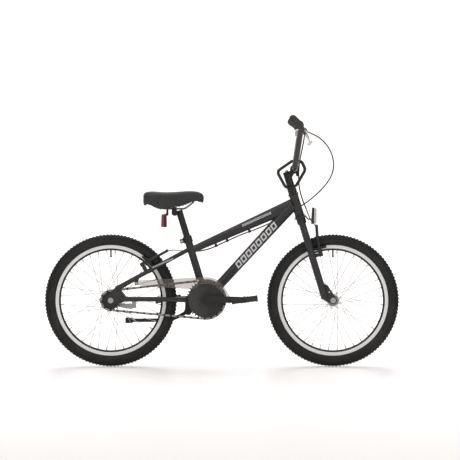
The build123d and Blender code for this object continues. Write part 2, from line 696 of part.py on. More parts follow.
# ---- cable runs ----
REAR_HOUSING = [
    (322, -128, 884), (350, -110, 874), (383, -86, 851), (407, -62, 820), (420, -39, 786), (423, -16, 752),
    (414, 4, 719), (392, 20, 685), (360, 31, 652), (324, 38, 622), (284, 39.5, 597), (246, 35, 575),
    (208, 30, 555), (168, 20, 535), (126, 9, 517.5), (84, 2, 502.5), (42, 0, 484.5), (0, 2, 465.5),
    (-42, 10, 446), (-76, 24, 437), (-108, 33, 434.5), (-142, 36, 437),
]
FRONT_HOUSING = [
    (315, 124, 880), (312, 96, 862), (306, 74, 830), (298, 60, 795), (292, 52, 758), (290.5, 46, 722),
    (291.5, 40, 686), (298, 34, 652), (308, 30.5, 622), (319, 30, 596),
]


def route_radii(points, share=0.45):
    radii = []
    for a, b, c in zip(points, points[1:], points[2:]):
        one, two = Vector(b) - Vector(a), Vector(c) - Vector(b)
        turn = radians(one.get_angle(two))
        radii.append(share * min(one.length, two.length) / tan(turn / 2))
    print("route radii", [round(r) for r in radii])
    return radii


def cable(points, radius):
    return bent_rod(points, route_radii(points), radius)


def split_cable(points, radius, run):
    """The cable up to the middle of one of its straight runs, and the rest of it."""
    radii = route_radii(points)
    middle = (Vector(points[run]) + Vector(points[run + 1])) / 2
    return (bent_rod(points[:run + 1] + [middle], radii[:run], radius),
            bent_rod([middle] + points[run + 1:], radii[run:], radius))


GUIDED_RUNS = (14, 16, 17)
HEAD_TUBE_RUN = 10
REAR_NOODLE = [(-143.0, 36.2, 437.1), (-178, 50, 440), (-202.5, 60, 438.5), (-206, 41, 437)]
FRONT_NOODLE = [(319.4, 30.1, 595.0), (334, 44, 556), (355, 61, 533), (358, 41.5, 531)]


def cable_guides():
    """Clips that hold the rear cable under the top tube, each at the middle of one of its runs."""
    top_run = (at(TOP_TUBE[1]) - at(TOP_TUBE[0])).normalized()
    room = oval_tube(at(TOP_TUBE[0]), at(TOP_TUBE[1]), (26.6, 24.6), (47.6, 33.6))
    pieces = []
    for start in GUIDED_RUNS:
        one, two = Vector(REAR_HOUSING[start]), Vector(REAR_HOUSING[start + 1])
        middle, run = (one + two) / 2, (two - one).normalized()
        clip = rod(middle - run * 5, middle + run * 5, CABLE_RADIUS + 2)
        foot = Plane(origin=middle, x_dir=top_run, z_dir=LEFT.cross(top_run) * -1)
        clip += extrude(foot * Rectangle(9, 6), amount=16)
        clip -= rod(middle - run * 12, middle + run * 12, CABLE_RADIUS + SEAT_GAP)
        pieces.append(clip - room)
    return pieces


# ---- steering ----
def fork():
    """Unicrown fork: steerer, two straight legs that curve in to it, and forward dropout plates."""
    body = rod(steer(-62), steer(58), STEERER_RADIUS)
    body += rod(steer(-74), steer(-HEAD_TUBE_HALF - 6.2), 17.5)
    for side in (1, -1):
        leg = bent_rod(
            [steer(-66, 0, side * 2), steer(-92, 0, side * 18), steer(-116, 0, side * 46),
             steer(-146, 0, side * LEG_SIDE), steer(-368, 0, side * LEG_SIDE)], [26, 26, 40], LEG_RADIUS)
        body += leg
        inner = side * FRONT_HUB_WIDTH / 2
        outer = inner + side * DROPOUT_THICKNESS
        outline = [(376, 258), (386, 311.5), (399, 308), (432, 256), (420, 238.5), (400, 243)]
        plate = side_plate(outline, inner, outer, 2)
        plate += cross_rod(FRONT_AXLE, inner, outer, 14)
        plate -= cross_rod(FRONT_AXLE, side * 40, side * 60, AXLE_RADIUS + SEAT_GAP)
        plate -= cross_rod((406.0, 281.0), side * 40, side * 60, 3.0)
        body += plate
        foot = front_arm_point(0, side * PIVOT_SIDE, -FRONT_ARM_OFFSET)
        body += brake_boss(
            foot, front_arm_point(0, side * PIVOT_SIDE, -7.5), front_arm_point(0, side * PIVOT_SIDE, 7.5))
    return body - rod(steer(-50), steer(80), QUILL_RADIUS + RUN_FIT)


def headset_locknuts():
    low = HEAD_TUBE_HALF + 6.3
    cone_nut = rod(steer(low), steer(low + 8), 17.0)
    plane = Plane(origin=steer(low + 8.2), x_dir=(0, 1, 0), z_dir=STEER_UP)
    locknut = extrude(plane * RegularPolygon(17.0, 6, major_radius=False), amount=8)
    bore = rod(steer(low - 5), steer(low + 30), STEERER_RADIUS + RUN_FIT)
    top_bore = rod(steer(low + 8), steer(low + 30), QUILL_RADIUS + 0.2)
    return [cone_nut - bore, locknut - bore - top_bore]


CLAMP_AT = (275.0, 746.0)
STEM_TOP = 131.0
CLAMP_HALF = 21.0


def stem():
    head_low, head_high = 76.0, STEM_TOP
    body = rod(steer(-20), steer(head_low + 2), QUILL_RADIUS)
    body += rod(steer(head_low), steer(head_high), 14.5)
    high, low = steer(STEM_TOP - 2, 9), steer(STEM_TOP - 40)
    body += side_plate(
        [(high.X, high.Z), (CLAMP_AT[0], CLAMP_AT[1] + 14), (CLAMP_AT[0], CLAMP_AT[1] - 14),
         (low.X, low.Z)], -13, 13)
    body += cross_rod(CLAMP_AT, -CLAMP_HALF, CLAMP_HALF, 17.5)
    pinch = [(CLAMP_AT[0] + 4, CLAMP_AT[1] - 14), (CLAMP_AT[0] + 16, CLAMP_AT[1] - 8),
             (CLAMP_AT[0] + 18, CLAMP_AT[1] - 26), (CLAMP_AT[0] + 6, CLAMP_AT[1] - 28)]
    body += side_plate(pinch, -9, 9)
    body -= cross_rod(CLAMP_AT, -40, 40, BAR_RADIUS + RUN_FIT)
    return body - rod(steer(-40), steer(STEM_TOP + 5), 4.6)


def steering_bolts():
    quill_bolt = rod(steer(-36), steer(STEM_TOP + 2), 4.0)
    quill_bolt += rod(steer(STEM_TOP + 0.1), steer(STEM_TOP + 6), 6.5)
    wedge = rod(steer(-40), steer(-20.2), QUILL_RADIUS) - rod(steer(-50), steer(0), 4.1)
    return [quill_bolt, wedge]


LOOP_SIDE = 27.5
LOOP_ROD_RADIUS = 5.5
LOOP_CORNERS = [(316.0, 744.0), (301.0, 776.0), (266.0, 777.0), (208.0, 737.0)]


def guard_loop():
    """Two bent rods that go up and round the stem from a collar on top of the headset, with cross rods."""
    low = HEAD_TUBE_HALF + 22.7
    loop = rod(steer(low), steer(low + 12), 17.0)
    for side in (1, -1):
        out = side * LOOP_SIDE
        points = [steer(low + 6.5, 6, side * 13), steer(low + 10, 22, side * 24)]
        points += [at(corner, out) for corner in LOOP_CORNERS]
        points += [steer(low + 17, -21, side * 24), steer(low + 6.5, -6, side * 13)]
        loop += bent_rod(points, [10, 20, 16, 22, 16, 12], LOOP_ROD_RADIUS)
    for spot in ((308.5, 762.0), (213.0, 740.0)):
        loop += cross_rod(spot, -LOOP_SIDE, LOOP_SIDE, LOOP_ROD_RADIUS - 0.5)
    return loop - rod(steer(low - 10), steer(low + 13), QUILL_RADIUS + RUN_FIT)


BAR_LOW = Vector(275.0, 62.0, 746.0)
BAR_TOP = Vector(298.0, 135.0, 903.0)
BAR_END = Vector(265.0, 290.0, 931.0)
GRIP_LINE = (BAR_END - BAR_TOP).normalized()
CROSSBAR_SHARE = 0.62


def mirrored(point):
    return Vector(point.X, -point.Y, point.Z)


def bar_rod(radius):
    points = [mirrored(BAR_END), mirrored(BAR_TOP), mirrored(BAR_LOW), BAR_LOW, BAR_TOP, BAR_END]
    return bent_rod(points, [35, 45, 45, 35], radius)


def handlebar():
    bar = bar_rod(BAR_RADIUS)
    spot = BAR_LOW + (BAR_TOP - BAR_LOW) * CROSSBAR_SHARE
    return bar + rod(mirrored(spot), spot, CROSSBAR_RADIUS)


def grip():
    start = BAR_END - GRIP_LINE * GRIP_LENGTH
    body = rod(start, BAR_END + GRIP_LINE * 3, GRIP_RADIUS)
    body += rod(start, start + GRIP_LINE * 4, GRIP_RADIUS + 3)
    return body - rod(start - GRIP_LINE * 5, BAR_END + GRIP_LINE * 0.2, BAR_RADIUS + SEAT_GAP)


LEVER_CLAMP_AT = 31.0
LEVER_PIVOT = Vector(312.5, 150.0, 889.5)
LEVER_DROP = (Vector(0.54, 0, -0.84) - GRIP_LINE * Vector(0.54, 0, -0.84).dot(GRIP_LINE)).normalized()
LEVER_AXIS = GRIP_LINE.cross(LEVER_DROP).normalized()
LEVER_PIN_RADIUS = 2.5


def lever_point(out, down, along=0.0):
    """A point in the lever's own plane: out along the grip, down from the bar, along its pin."""
    return LEVER_PIVOT + GRIP_LINE * out + LEVER_DROP * down + LEVER_AXIS * along


def lever_bracket():
    """Clamp ring on the bar, two cheeks with the lever's pin, and the stop where the housing starts."""
    middle = BAR_TOP + GRIP_LINE * LEVER_CLAMP_AT
    body = rod(middle - GRIP_LINE * 6, middle + GRIP_LINE * 6, BAR_RADIUS + 4.5)
    body += rod(middle, LEVER_PIVOT, 6.5)
    housing = Vector(FRONT_HOUSING[0])
    run = (housing - Vector(FRONT_HOUSING[1])).normalized()
    body += rod(housing + run * 0.3, housing + run * 12, 4.5)
    body += rod(housing + run * 10, lever_point(2, -2), 5.0)
    for end in (1, -1):
        body += rod(lever_point(0, 0, end * 4.2), lever_point(0, 0, end * 7.5), 7.5)
    body -= rod(lever_point(0, 0, -4.2), lever_point(0, 0, 4.2), 11.0)
    body += rod(lever_point(0, 0, -7.5), lever_point(0, 0, 7.5), LEVER_PIN_RADIUS)
    return body - bar_rod(BAR_RADIUS + SEAT_GAP)


def brake_lever():
    tip = lever_point(74, 70)
    blade = bent_rod([LEVER_PIVOT, lever_point(14, 34), tip], [40], 3.8)
    blade += rod(lever_point(0, 0, -4), lever_point(0, 0, 4), 6.5)
    blade += Pos(tip.X, tip.Y, tip.Z) * Sphere(7.0)
    return blade - rod(lever_point(0, 0, -12), lever_point(0, 0, 12), LEVER_PIN_RADIUS + RUN_FIT)


def bell():
    """Clamp ring on the left upright, and a dome that faces the rider beside it."""
    middle = BAR_LOW + (BAR_TOP - BAR_LOW) * BELL_SHARE
    lean = (BAR_TOP - BAR_LOW).normalized()
    clamp = rod(middle - lean * 5, middle + lean * 5, BAR_RADIUS + 3)
    foot = Vector(middle.X + 2, middle.Y - 39, middle.Z)
    clamp += rod(middle, foot, 4.2)
    clamp += rod(foot + Vector(4, 0, 0), foot - Vector(19, 0, 0), 3.0)
    clamp += rod(foot + Vector(4, 0, 0), foot - Vector(4, 0, 0), 9.0)
    clamp -= rod(middle - lean * 15, middle + lean * 15, BAR_RADIUS + SEAT_GAP)
    dome = cone(foot - Vector(6, 0, 0), foot - Vector(20, 0, 0), 20.5, 11)
    dome = fillet(dome.edges().sort_by(Axis.X)[0], 4)
    dome -= cone(foot - Vector(5.9, 0, 0), foot - Vector(18, 0, 0), 19, 9.5)
    dome -= rod(foot, foot - Vector(30, 0, 0), 3.1)
    return [clamp, dome]


def front_reflector():
    back = side_plate([(337, 538.5), (347, 538.5), (349, 601), (341, 601)], -27, 27, 2)
    lens = side_plate([(347.3, 542), (357, 540), (358, 598), (349.3, 598)], -25, 25, 2)
    stay = bent_rod([steer(-50, 20), (326, 0, 556), (337.5, 0, 558)], [6], 2.5)
    band = rod(steer(-52), steer(-46.5), 23.5) - rod(steer(-60), steer(-40), 20.2)
    return back + stay + band, lens


# ---- brakes ----
ARM_TOP = 107.0
PAD_UP = 23.4
PAD_FACE = 15.8


def brake_arm(place, side, kink, centre):
    """One brake arm with its pad and stud. place(up, side, out) gives points on this pair's arms."""

    def spot(up, lateral, out=0.0):
        return place(up, side * lateral, out)

    arm = rod(spot(0, PIVOT_SIDE, -7), spot(0, PIVOT_SIDE, 7), 9.0)
    arm += rod(spot(0, PIVOT_SIDE), spot(PAD_UP, PIVOT_SIDE + 3), 6.5)
    arm += rod(spot(PAD_UP, PIVOT_SIDE + 3), spot(60, PIVOT_SIDE - 1, kink * 0.3), 6.0)
    arm += rod(spot(60, PIVOT_SIDE - 1, kink * 0.3), spot(ARM_TOP - 3, PIVOT_SIDE - 6, kink), 5.0)
    for up, lateral, out, size in ((PAD_UP, 3, 0, 6.8), (60, -1, kink * 0.3, 6.0)):
        centre_point = spot(up, PIVOT_SIDE + lateral, out)
        arm += Pos(centre_point.X, centre_point.Y, centre_point.Z) * Sphere(size)
    top = spot(ARM_TOP, PIVOT_SIDE - 6, kink)
    arm += rod(spot(ARM_TOP, PIVOT_SIDE - 11, kink), spot(ARM_TOP, PIVOT_SIDE - 1, kink), 6.0)
    hole = rod(spot(ARM_TOP, 10, kink), spot(ARM_TOP, PIVOT_SIDE + 30, kink), WIRE_RADIUS + 0.6)
    arm -= hole
    arm -= rod(spot(0, PIVOT_SIDE, -12), spot(0, PIVOT_SIDE, 12), BOSS_PIN_RADIUS + RUN_FIT)
    stud_hole = rod(spot(PAD_UP, 0), spot(PAD_UP, 80), 3.3)
    arm -= stud_hole
    pad_middle = spot(PAD_UP, 0)
    outward = Vector(pad_middle.X - centre[0], 0, pad_middle.Z - centre[1]).normalized()
    plane = Plane(origin=spot(PAD_UP, PAD_FACE), x_dir=(outward.Z, 0, -outward.X), z_dir=(0, side, 0))
    shoe = extrude(plane * RectangleRounded(56, 10, 3), amount=9)
    stud = rod(spot(PAD_UP, PAD_FACE + 7), spot(PAD_UP, PIVOT_SIDE + 16), 3.0)
    stud += rod(spot(PAD_UP, PIVOT_SIDE + 11), spot(PAD_UP, PIVOT_SIDE + 15), 6.0)
    return [arm, shoe + stud]


def brake_wire(place, kink):
    return rod(place(ARM_TOP, PIVOT_SIDE - 0.5, kink), place(ARM_TOP, -(PIVOT_SIDE + 14), kink), WIRE_RADIUS)


# ---- seat ----
SADDLE_BOLT = (-178.5, 581.0)
RAIL_SIDE = 22.0
RAIL_Z = 596.0
RAIL_RADIUS = 3.5
SADDLE_SECTIONS = [
    # x, top, bottom, half width, corner radius
    (-297.0, 650.0, 612.0, 50.0, 14.0), (-283.0, 659.0, 603.0, 66.0, 20.0),
    (-255.0, 660.0, 590.0, 74.0, 24.0), (-222.0, 658.0, 582.0, 70.0, 24.0),
    (-188.0, 658.0, 590.0, 52.0, 22.0), (-155.0, 660.0, 598.5, 37.0, 18.0),
    (-122.0, 662.0, 611.0, 28.0, 16.0), (-92.0, 660.5, 617.0, 23.0, 15.0), (-68.0, 645.0, 624.0, 17.0, 9.0),
]


def saddle_loft(shrink, lift_bottom, lower_top):
    faces = []
    for x, top, bottom, half, corner in SADDLE_SECTIONS:
        high, low = top - lower_top, bottom - lift_bottom
        plane = Plane(origin=(x, 0, (high + low) / 2), x_dir=(0, 1, 0), z_dir=(1, 0, 0))
        wide = 2 * (half - shrink)
        faces.append(plane * RectangleRounded(wide, high - low, min(corner, wide / 2.2, (high - low) / 2.2)))
    return loft(faces)


def saddle_cover():
    cover = saddle_loft(0, 0, 0)
    hollow = side_plate(
        [(-287, 560), (-287, 622), (-150, 622), (-84, 632), (-78, 630), (-78, 560)], -200, 200)
    hollow = hollow & saddle_loft(7, 30, 7)
    return cover - hollow


def saddle_base():
    base = side_plate(
        [(-284, 621.4), (-284, 616), (-152, 616), (-100, 624), (-100, 628.6), (-150.3, 621.4)], -200, 200)
    base = base & saddle_loft(8, 30, 0)
    for side in (1, -1):
        base -= saddle_rail(side, RAIL_RADIUS + SEAT_GAP)
    return base


def saddle_rail(side, radius):
    return bent_rod(
        [(-268, side * 34, 616.5), (-246, side * 27, 600), (-214, side * RAIL_SIDE, RAIL_Z),
         (-140, side * RAIL_SIDE, RAIL_Z), (-106, side * 9, 621.5)], [14, 40, 22], radius)


def saddle_clamp():
    """Block round the post's neck with the cross bolt behind it."""
    block = rod(seat_line(POST_TOP - 14), seat_line(POST_TOP + 3), 13.0)
    block += rod(at(SADDLE_BOLT, -13), at(SADDLE_BOLT, 13), 10.5)
    block -= rod(seat_line(POST_TOP - 40), seat_line(POST_TOP + 1), 11.0 + RUN_FIT)
    block += cross_rod(SADDLE_BOLT, -32, 32, 4.0)
    return block


def rail_clamps():
    pieces = []
    for side in (1, -1):
        cheek = cross_rod(SADDLE_BOLT, side * 13.2, side * 28, 12.0)
        cheek += side_plate([(-190, 582), (-171, 582), (-171, 603), (-188, 603)], side * 15, side * 28)
        rail_ends = [(x, side * RAIL_SIDE, RAIL_Z) for x in (-260, -110)]
        cheek -= rod(*rail_ends, RAIL_RADIUS + RUN_FIT)
        cheek -= cross_rod(SADDLE_BOLT, -60, 60, 4.0 + RUN_FIT)
        pieces.append(cheek)
    return pieces


def rear_reflector():
    housing = side_plate([(-219, 525), (-219, 577), (-209, 577), (-208, 527)], -27, 27, 2)
    housing += side_plate([(-212, 570), (-209, 600), (-202, 600), (-202, 570)], -6, 6)
    housing += side_plate([(-209, 594), (-209, 599), (-202, 599), (-202, 594)], -17, 17)
    for side in (1, -1):
        start, end = Vector(-209, side * RAIL_SIDE, RAIL_Z), Vector(-202, side * RAIL_SIDE, RAIL_Z)
        housing += rod(start, end, 6.2) - rod(start, end, RAIL_RADIUS + SEAT_GAP)
    lens = side_plate([(-230, 527), (-228, 575), (-219.3, 575), (-219.3, 527)], -25, 25, 2)
    return housing, lens


# ---- build every node ----
def build_wheels():
    for name, centre, flange_y, hole_r in (
            ("front", FRONT_AXLE, FRONT_FLANGE_Y, 19.0), ("rear", REAR_AXLE, REAR_FLANGE_Y, 31.0)):
        save(f"{name}_tyre", tyre(centre))
        save(f"{name}_inner_tube", inner_tube(centre))
        save(f"{name}_rim", rim(centre))
        save(f"{name}_spokes", *spokes(centre, flange_y, hole_r))
    save("front_hub", front_hub())
    save("rear_hub", rear_hub())
    save("front_axle", *axle_set(FRONT_AXLE, FRONT_HUB_WIDTH, 36.3, 36.3))
    save("rear_axle", *axle_set(REAR_AXLE, REAR_HUB_WIDTH, 44.4, 48.4))


def build_drive():
    rollers, ring_phase, cog_phase = chain_route()
    save("chain", *chain(rollers))
    save("chainring", toothed_wheel(BB, RING_TEETH, ring_phase, BOSS_RADIUS + RUN_FIT))
    cog = toothed_wheel(REAR_AXLE, COG_TEETH, cog_phase, AXLE_RADIUS + RUN_FIT)
    save("rear_sprocket", cog + ring(REAR_AXLE, -32.3, -44.1, 17.0, AXLE_RADIUS + RUN_FIT))
    save("chain_disc", disc_guard())
    save("crank_arms", crank_arm(-1), crank_arm(1))
    save("crank_axle", *crank_axle())
    save("pedal_axles", pedal_axle(-1), pedal_axle(1))
    save("pedal_right", pedal(-1))
    save("pedal_left", pedal(1))
    save("chain_guard", chain_guard())


def build_frame():
    save("main_frame", main_frame())
    save("frame_bearings", *headset_bearings(), *bracket_cups())
    save("seat_collar", seat_collar())
    clamps, clamp_bolt = kickstand_bracket()
    save("kickstand_bracket", *clamps)
    collar_bolt = rod(CLAMP_BOLT - LEFT * 10, CLAMP_BOLT + LEFT * 10, 3.0)
    collar_bolt += rod(CLAMP_BOLT - LEFT * 14, CLAMP_BOLT - LEFT * 9.1, 5.5)
    collar_bolt += rod(CLAMP_BOLT + LEFT * 9.1, CLAMP_BOLT + LEFT * 14, 5.5)
    guard_screws = []
    for eye in (GUARD_EYE, GUARD_TAB):
        guard_screws.append(cross_rod(eye, -47, -56, 2.1) + cross_rod(eye, GUARD_Y - 2.1, GUARD_Y - 5, 4.5))
    strap_bolt = cross_rod((-333.0, 228.0), 42.5, 54, 3.0) + cross_rod((-333.0, 228.0), 42, 45.1, 5.0)
    save("frame_bolts", clamp_bolt, collar_bolt, *guard_screws, strap_bolt)
    save("coaster_arm", *coaster_arm())
    save("kickstand_leg", kickstand_leg())
    save("kickstand_foot", kickstand_foot())
    save("cable_guides", *cable_guides())
    loop, fixed_run = split_cable(REAR_HOUSING, CABLE_RADIUS, HEAD_TUBE_RUN)
    save("rear_cable_loop", loop)
    save("rear_brake_cable", fixed_run, brake_wire(rear_arm_point, 0))


def build_steering():
    save("fork", fork())
    save("headset_locknuts", *headset_locknuts())
    save("stem", stem())
    save("steering_bolts", *steering_bolts())
    save("guard_loop", guard_loop())
    save("handlebar", handlebar())
    save("grips", *both_sides(grip()))
    save("lever_brackets", *both_sides(lever_bracket()))
    left_lever, right_lever = both_sides(brake_lever())
    save("brake_lever_left", left_lever)
    save("brake_lever_right", right_lever)
    save("bell", *bell())
    housing, lens = front_reflector()
    save("front_reflector_housing", housing)
    save("front_reflector_lens", lens)
    save("front_brake_cable", cable(FRONT_HOUSING, CABLE_RADIUS), brake_wire(front_arm_point, 15))


def build_brakes():
    for name, place, kink, centre, pipe in (
            ("rear", rear_arm_point, 0, REAR_AXLE, REAR_NOODLE),
            ("front", front_arm_point, 15, FRONT_AXLE, FRONT_NOODLE)):
        noodle = bent_rod(pipe, [20, 7], 2.8)
        save(f"{name}_brake_arm_left", *brake_arm(place, 1, kink, centre), noodle)
        save(f"{name}_brake_arm_right", *brake_arm(place, -1, kink, centre))


def build_seat():
    post = rod(seat_line(SEAT_TUBE_LENGTH - POST_INSERTED), seat_line(POST_TOP - 14.2), POST_RADIUS)
    post += rod(seat_line(POST_TOP - 20), seat_line(POST_TOP), 11.0)
    post -= rod(seat_line(SEAT_TUBE_LENGTH - POST_INSERTED - 5), seat_line(POST_TOP - 20), POST_RADIUS - 2)
    save("seat_post", post)
    save("saddle_clamp", saddle_clamp())
    save("rail_clamps", *rail_clamps())
    save("saddle_rails", *both_sides(saddle_rail(1, RAIL_RADIUS)))
    save("saddle_base", saddle_base())
    save("saddle_cover", saddle_cover())
    housing, lens = rear_reflector()
    save("rear_reflector_housing", housing)
    save("rear_reflector_lens", lens)


build_wheels()
build_drive()
build_frame()
build_steering()
build_brakes()
build_seat()
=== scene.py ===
"""Child's BMX style bicycle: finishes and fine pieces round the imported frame.

Laid out as an add-on: sizes and colours are properties, each group of pieces is an operator,
and a panel in the 3D view's sidebar lists them. Every length is in metres.
"""

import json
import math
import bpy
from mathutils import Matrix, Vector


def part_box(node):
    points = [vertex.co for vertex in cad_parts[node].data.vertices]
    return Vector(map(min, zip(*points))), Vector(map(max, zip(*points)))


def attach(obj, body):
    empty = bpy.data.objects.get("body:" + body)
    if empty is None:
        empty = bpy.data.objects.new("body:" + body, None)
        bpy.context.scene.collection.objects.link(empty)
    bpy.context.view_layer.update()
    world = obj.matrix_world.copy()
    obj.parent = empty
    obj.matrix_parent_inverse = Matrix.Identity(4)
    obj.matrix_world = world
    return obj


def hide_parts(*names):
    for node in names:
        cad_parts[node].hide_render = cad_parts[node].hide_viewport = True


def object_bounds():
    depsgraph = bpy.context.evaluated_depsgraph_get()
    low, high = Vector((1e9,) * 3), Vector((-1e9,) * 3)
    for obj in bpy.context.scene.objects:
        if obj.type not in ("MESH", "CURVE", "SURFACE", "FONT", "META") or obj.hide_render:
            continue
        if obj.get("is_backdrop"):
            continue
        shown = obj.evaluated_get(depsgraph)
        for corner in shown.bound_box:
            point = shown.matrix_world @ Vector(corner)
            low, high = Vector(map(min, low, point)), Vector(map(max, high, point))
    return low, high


bl_info = {
    "name": "BMX Bicycle Looks",
    "version": (1, 0, 0),
    "blender": (4, 5, 0),
    "location": "View3D > Sidebar > Bicycle",
    "description": "Builds the tyres' tread, grips, saddle skin and finishes round a bicycle frame",
    "category": "Object",
}

import bpy
import numpy as np
from bpy.props import FloatProperty, FloatVectorProperty, IntProperty, PointerProperty
from mathutils import Matrix, Vector

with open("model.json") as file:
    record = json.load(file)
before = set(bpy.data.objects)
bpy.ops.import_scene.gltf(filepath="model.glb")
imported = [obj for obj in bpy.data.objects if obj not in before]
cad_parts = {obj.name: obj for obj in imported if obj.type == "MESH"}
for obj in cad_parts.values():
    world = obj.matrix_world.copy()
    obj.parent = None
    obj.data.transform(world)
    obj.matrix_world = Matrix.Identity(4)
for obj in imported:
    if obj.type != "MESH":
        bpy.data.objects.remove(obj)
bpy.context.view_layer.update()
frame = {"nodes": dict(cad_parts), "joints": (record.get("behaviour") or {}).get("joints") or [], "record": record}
NODES = frame["nodes"]
FULL_TURN = 2 * math.pi
MM = 0.001


# ---- places read from the frame ----

def middle_of(node):
    low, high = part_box(node)
    return (Vector(low) + Vector(high)) / 2


def span_of(node):
    low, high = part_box(node)
    return Vector(high) - Vector(low)


def points_of(mesh):
    """A mesh's vertices as an array, one row each."""
    found = np.empty(len(mesh.vertices) * 3)
    mesh.vertices.foreach_get("co", found)
    return found.reshape(-1, 3)


def long_axis(node, side):
    """Inner end, unit direction outwards, and length of the long round solid on one side of a node."""
    found = points_of(NODES[node].data)
    found = found[found[:, 1] * side > 0]
    heart = found.mean(axis=0)
    _, _, turns = np.linalg.svd(found - heart, full_matrices=False)
    direction = turns[0]
    if direction[1] * side < 0:
        direction = -direction
    along = (found - heart) @ direction
    across = found - heart - np.outer(along, direction)
    ring_middle = (across.max(axis=0) + across.min(axis=0)) / 2
    start = heart + ring_middle + direction * along.min()
    return Vector(start), Vector(direction), float(along.max() - along.min())


WHEELS = {
    "front": {"body": "front_wheel", "centre": middle_of("front_tyre")},
    "rear": {"body": "rear_wheel", "centre": middle_of("rear_tyre")},
}
TYRE_RADIUS = span_of("front_tyre").z / 2
TYRE_WIDTH = span_of("front_tyre").y
TYRE_ROUND = TYRE_WIDTH / 2
TYRE_MIDDLE = TYRE_RADIUS - TYRE_ROUND
RIM_RADIUS = span_of("front_rim").z / 2
RIM_INNER = RIM_RADIUS - 20 * MM
BRAKE_TRACK_INNER = RIM_RADIUS - 13 * MM


# ---- sizes and colours that a user would change ----

class BikeSizes(bpy.types.PropertyGroup):
    """Sizes of the pieces made here"""
    knob_height: FloatProperty(
        name="Knob height", description="How far the tread blocks stand out of the casing",
        default=3.6 * MM, min=0.5 * MM, max=4.5 * MM, unit="LENGTH")
    knob_rows: IntProperty(
        name="Knobs round the tyre", description="Tread blocks in each row round a tyre",
        default=114, min=40, max=160)
    grip_ribs: IntProperty(
        name="Grip ribs", description="Raised rings along each grip", default=22, min=6, max=40)


class BikeColours(bpy.types.PropertyGroup):
    """Colours of the finishes"""
    paint: FloatVectorProperty(
        name="Frame paint", description="Matt powder coat of the frame and fork",
        default=(0.018, 0.018, 0.020, 1.0), size=4, min=0, max=1, subtype="COLOR")
    rubber: FloatVectorProperty(
        name="Tyre rubber", description="Tread and casing",
        default=(0.008, 0.008, 0.008, 1.0), size=4, min=0, max=1, subtype="COLOR")
    vinyl: FloatVectorProperty(
        name="Saddle vinyl", description="Skin of the saddle",
        default=(0.014, 0.014, 0.015, 1.0), size=4, min=0, max=1, subtype="COLOR")
    backdrop: FloatVectorProperty(
        name="Backdrop", description="Pale floor and backdrop",
        default=(0.93, 0.915, 0.905, 1.0), size=4, min=0, max=1, subtype="COLOR")


# ---- shader node groups ----

def new_group(name, inputs, outputs):
    """A shader node group with named sockets, and its input and output nodes."""
    group = bpy.data.node_groups.new(name, "ShaderNodeTree")
    for label, kind, default in inputs:
        made = group.interface.new_socket(label, in_out="INPUT", socket_type=kind)
        if default is not None:
            made.default_value = default
    for label, kind in outputs:
        group.interface.new_socket(label, in_out="OUTPUT", socket_type=kind)
    return group, group.nodes.new("NodeGroupInput"), group.nodes.new("NodeGroupOutput")


def add_node(tree, kind, **settings):
    node = tree.nodes.new(kind)
    for key, value in settings.items():
        setattr(node, key, value)
    return node


def reckon(tree, operation, *values, clamp=False):
    """A Math node fed by sockets or numbers."""
    node = add_node(tree, "ShaderNodeMath", operation=operation, use_clamp=clamp)
    for index, value in enumerate(values):
        if isinstance(value, (int, float)):
            node.inputs[index].default_value = value
        else:
            tree.links.new(value, node.inputs[index])
    return node.outputs[0]


def within(tree, value, low, high):
    """1 between low and high, and 0 outside them."""
    above, below = reckon(tree, "GREATER_THAN", value, low), reckon(tree, "LESS_THAN", value, high)
    return reckon(tree, "MULTIPLY", above, below)


def smooth_step(tree, value, low, high):
    """0 below low, 1 above high, eased between."""
    node = add_node(tree, "ShaderNodeMapRange", interpolation_type="SMOOTHSTEP")
    node.inputs["From Min"].default_value = low
    node.inputs["From Max"].default_value = high
    tree.links.new(value, node.inputs["Value"])
    return node.outputs["Result"]


def mixed(tree, factor, first, second):
    """A colour between two, each a socket or an RGBA, by a factor that changes over the surface."""
    node = add_node(tree, "ShaderNodeMix", data_type="RGBA")
    for name, value in (("A", first), ("B", second)):
        socket = next(s for s in node.inputs if s.name == name and s.type == "RGBA")
        if isinstance(value, bpy.types.NodeSocket):
            tree.links.new(value, socket)
        else:
            socket.default_value = value
    tree.links.new(factor, node.inputs["Factor"])
    return next(s for s in node.outputs if s.type == "RGBA")


def noise(tree, vector, scale, detail=3.0, roughness=0.5):
    node = add_node(tree, "ShaderNodeTexNoise")
    node.inputs["Scale"].default_value = scale
    node.inputs["Detail"].default_value = detail
    node.inputs["Roughness"].default_value = roughness
    tree.links.new(vector, node.inputs["Vector"])
    return node.outputs["Fac"]


def axes_of(tree, vector):
    """The X, Y and Z of a vector, as three sockets."""
    parts = add_node(tree, "ShaderNodeSeparateXYZ")
    tree.links.new(vector, parts.inputs[0])
    return parts.outputs


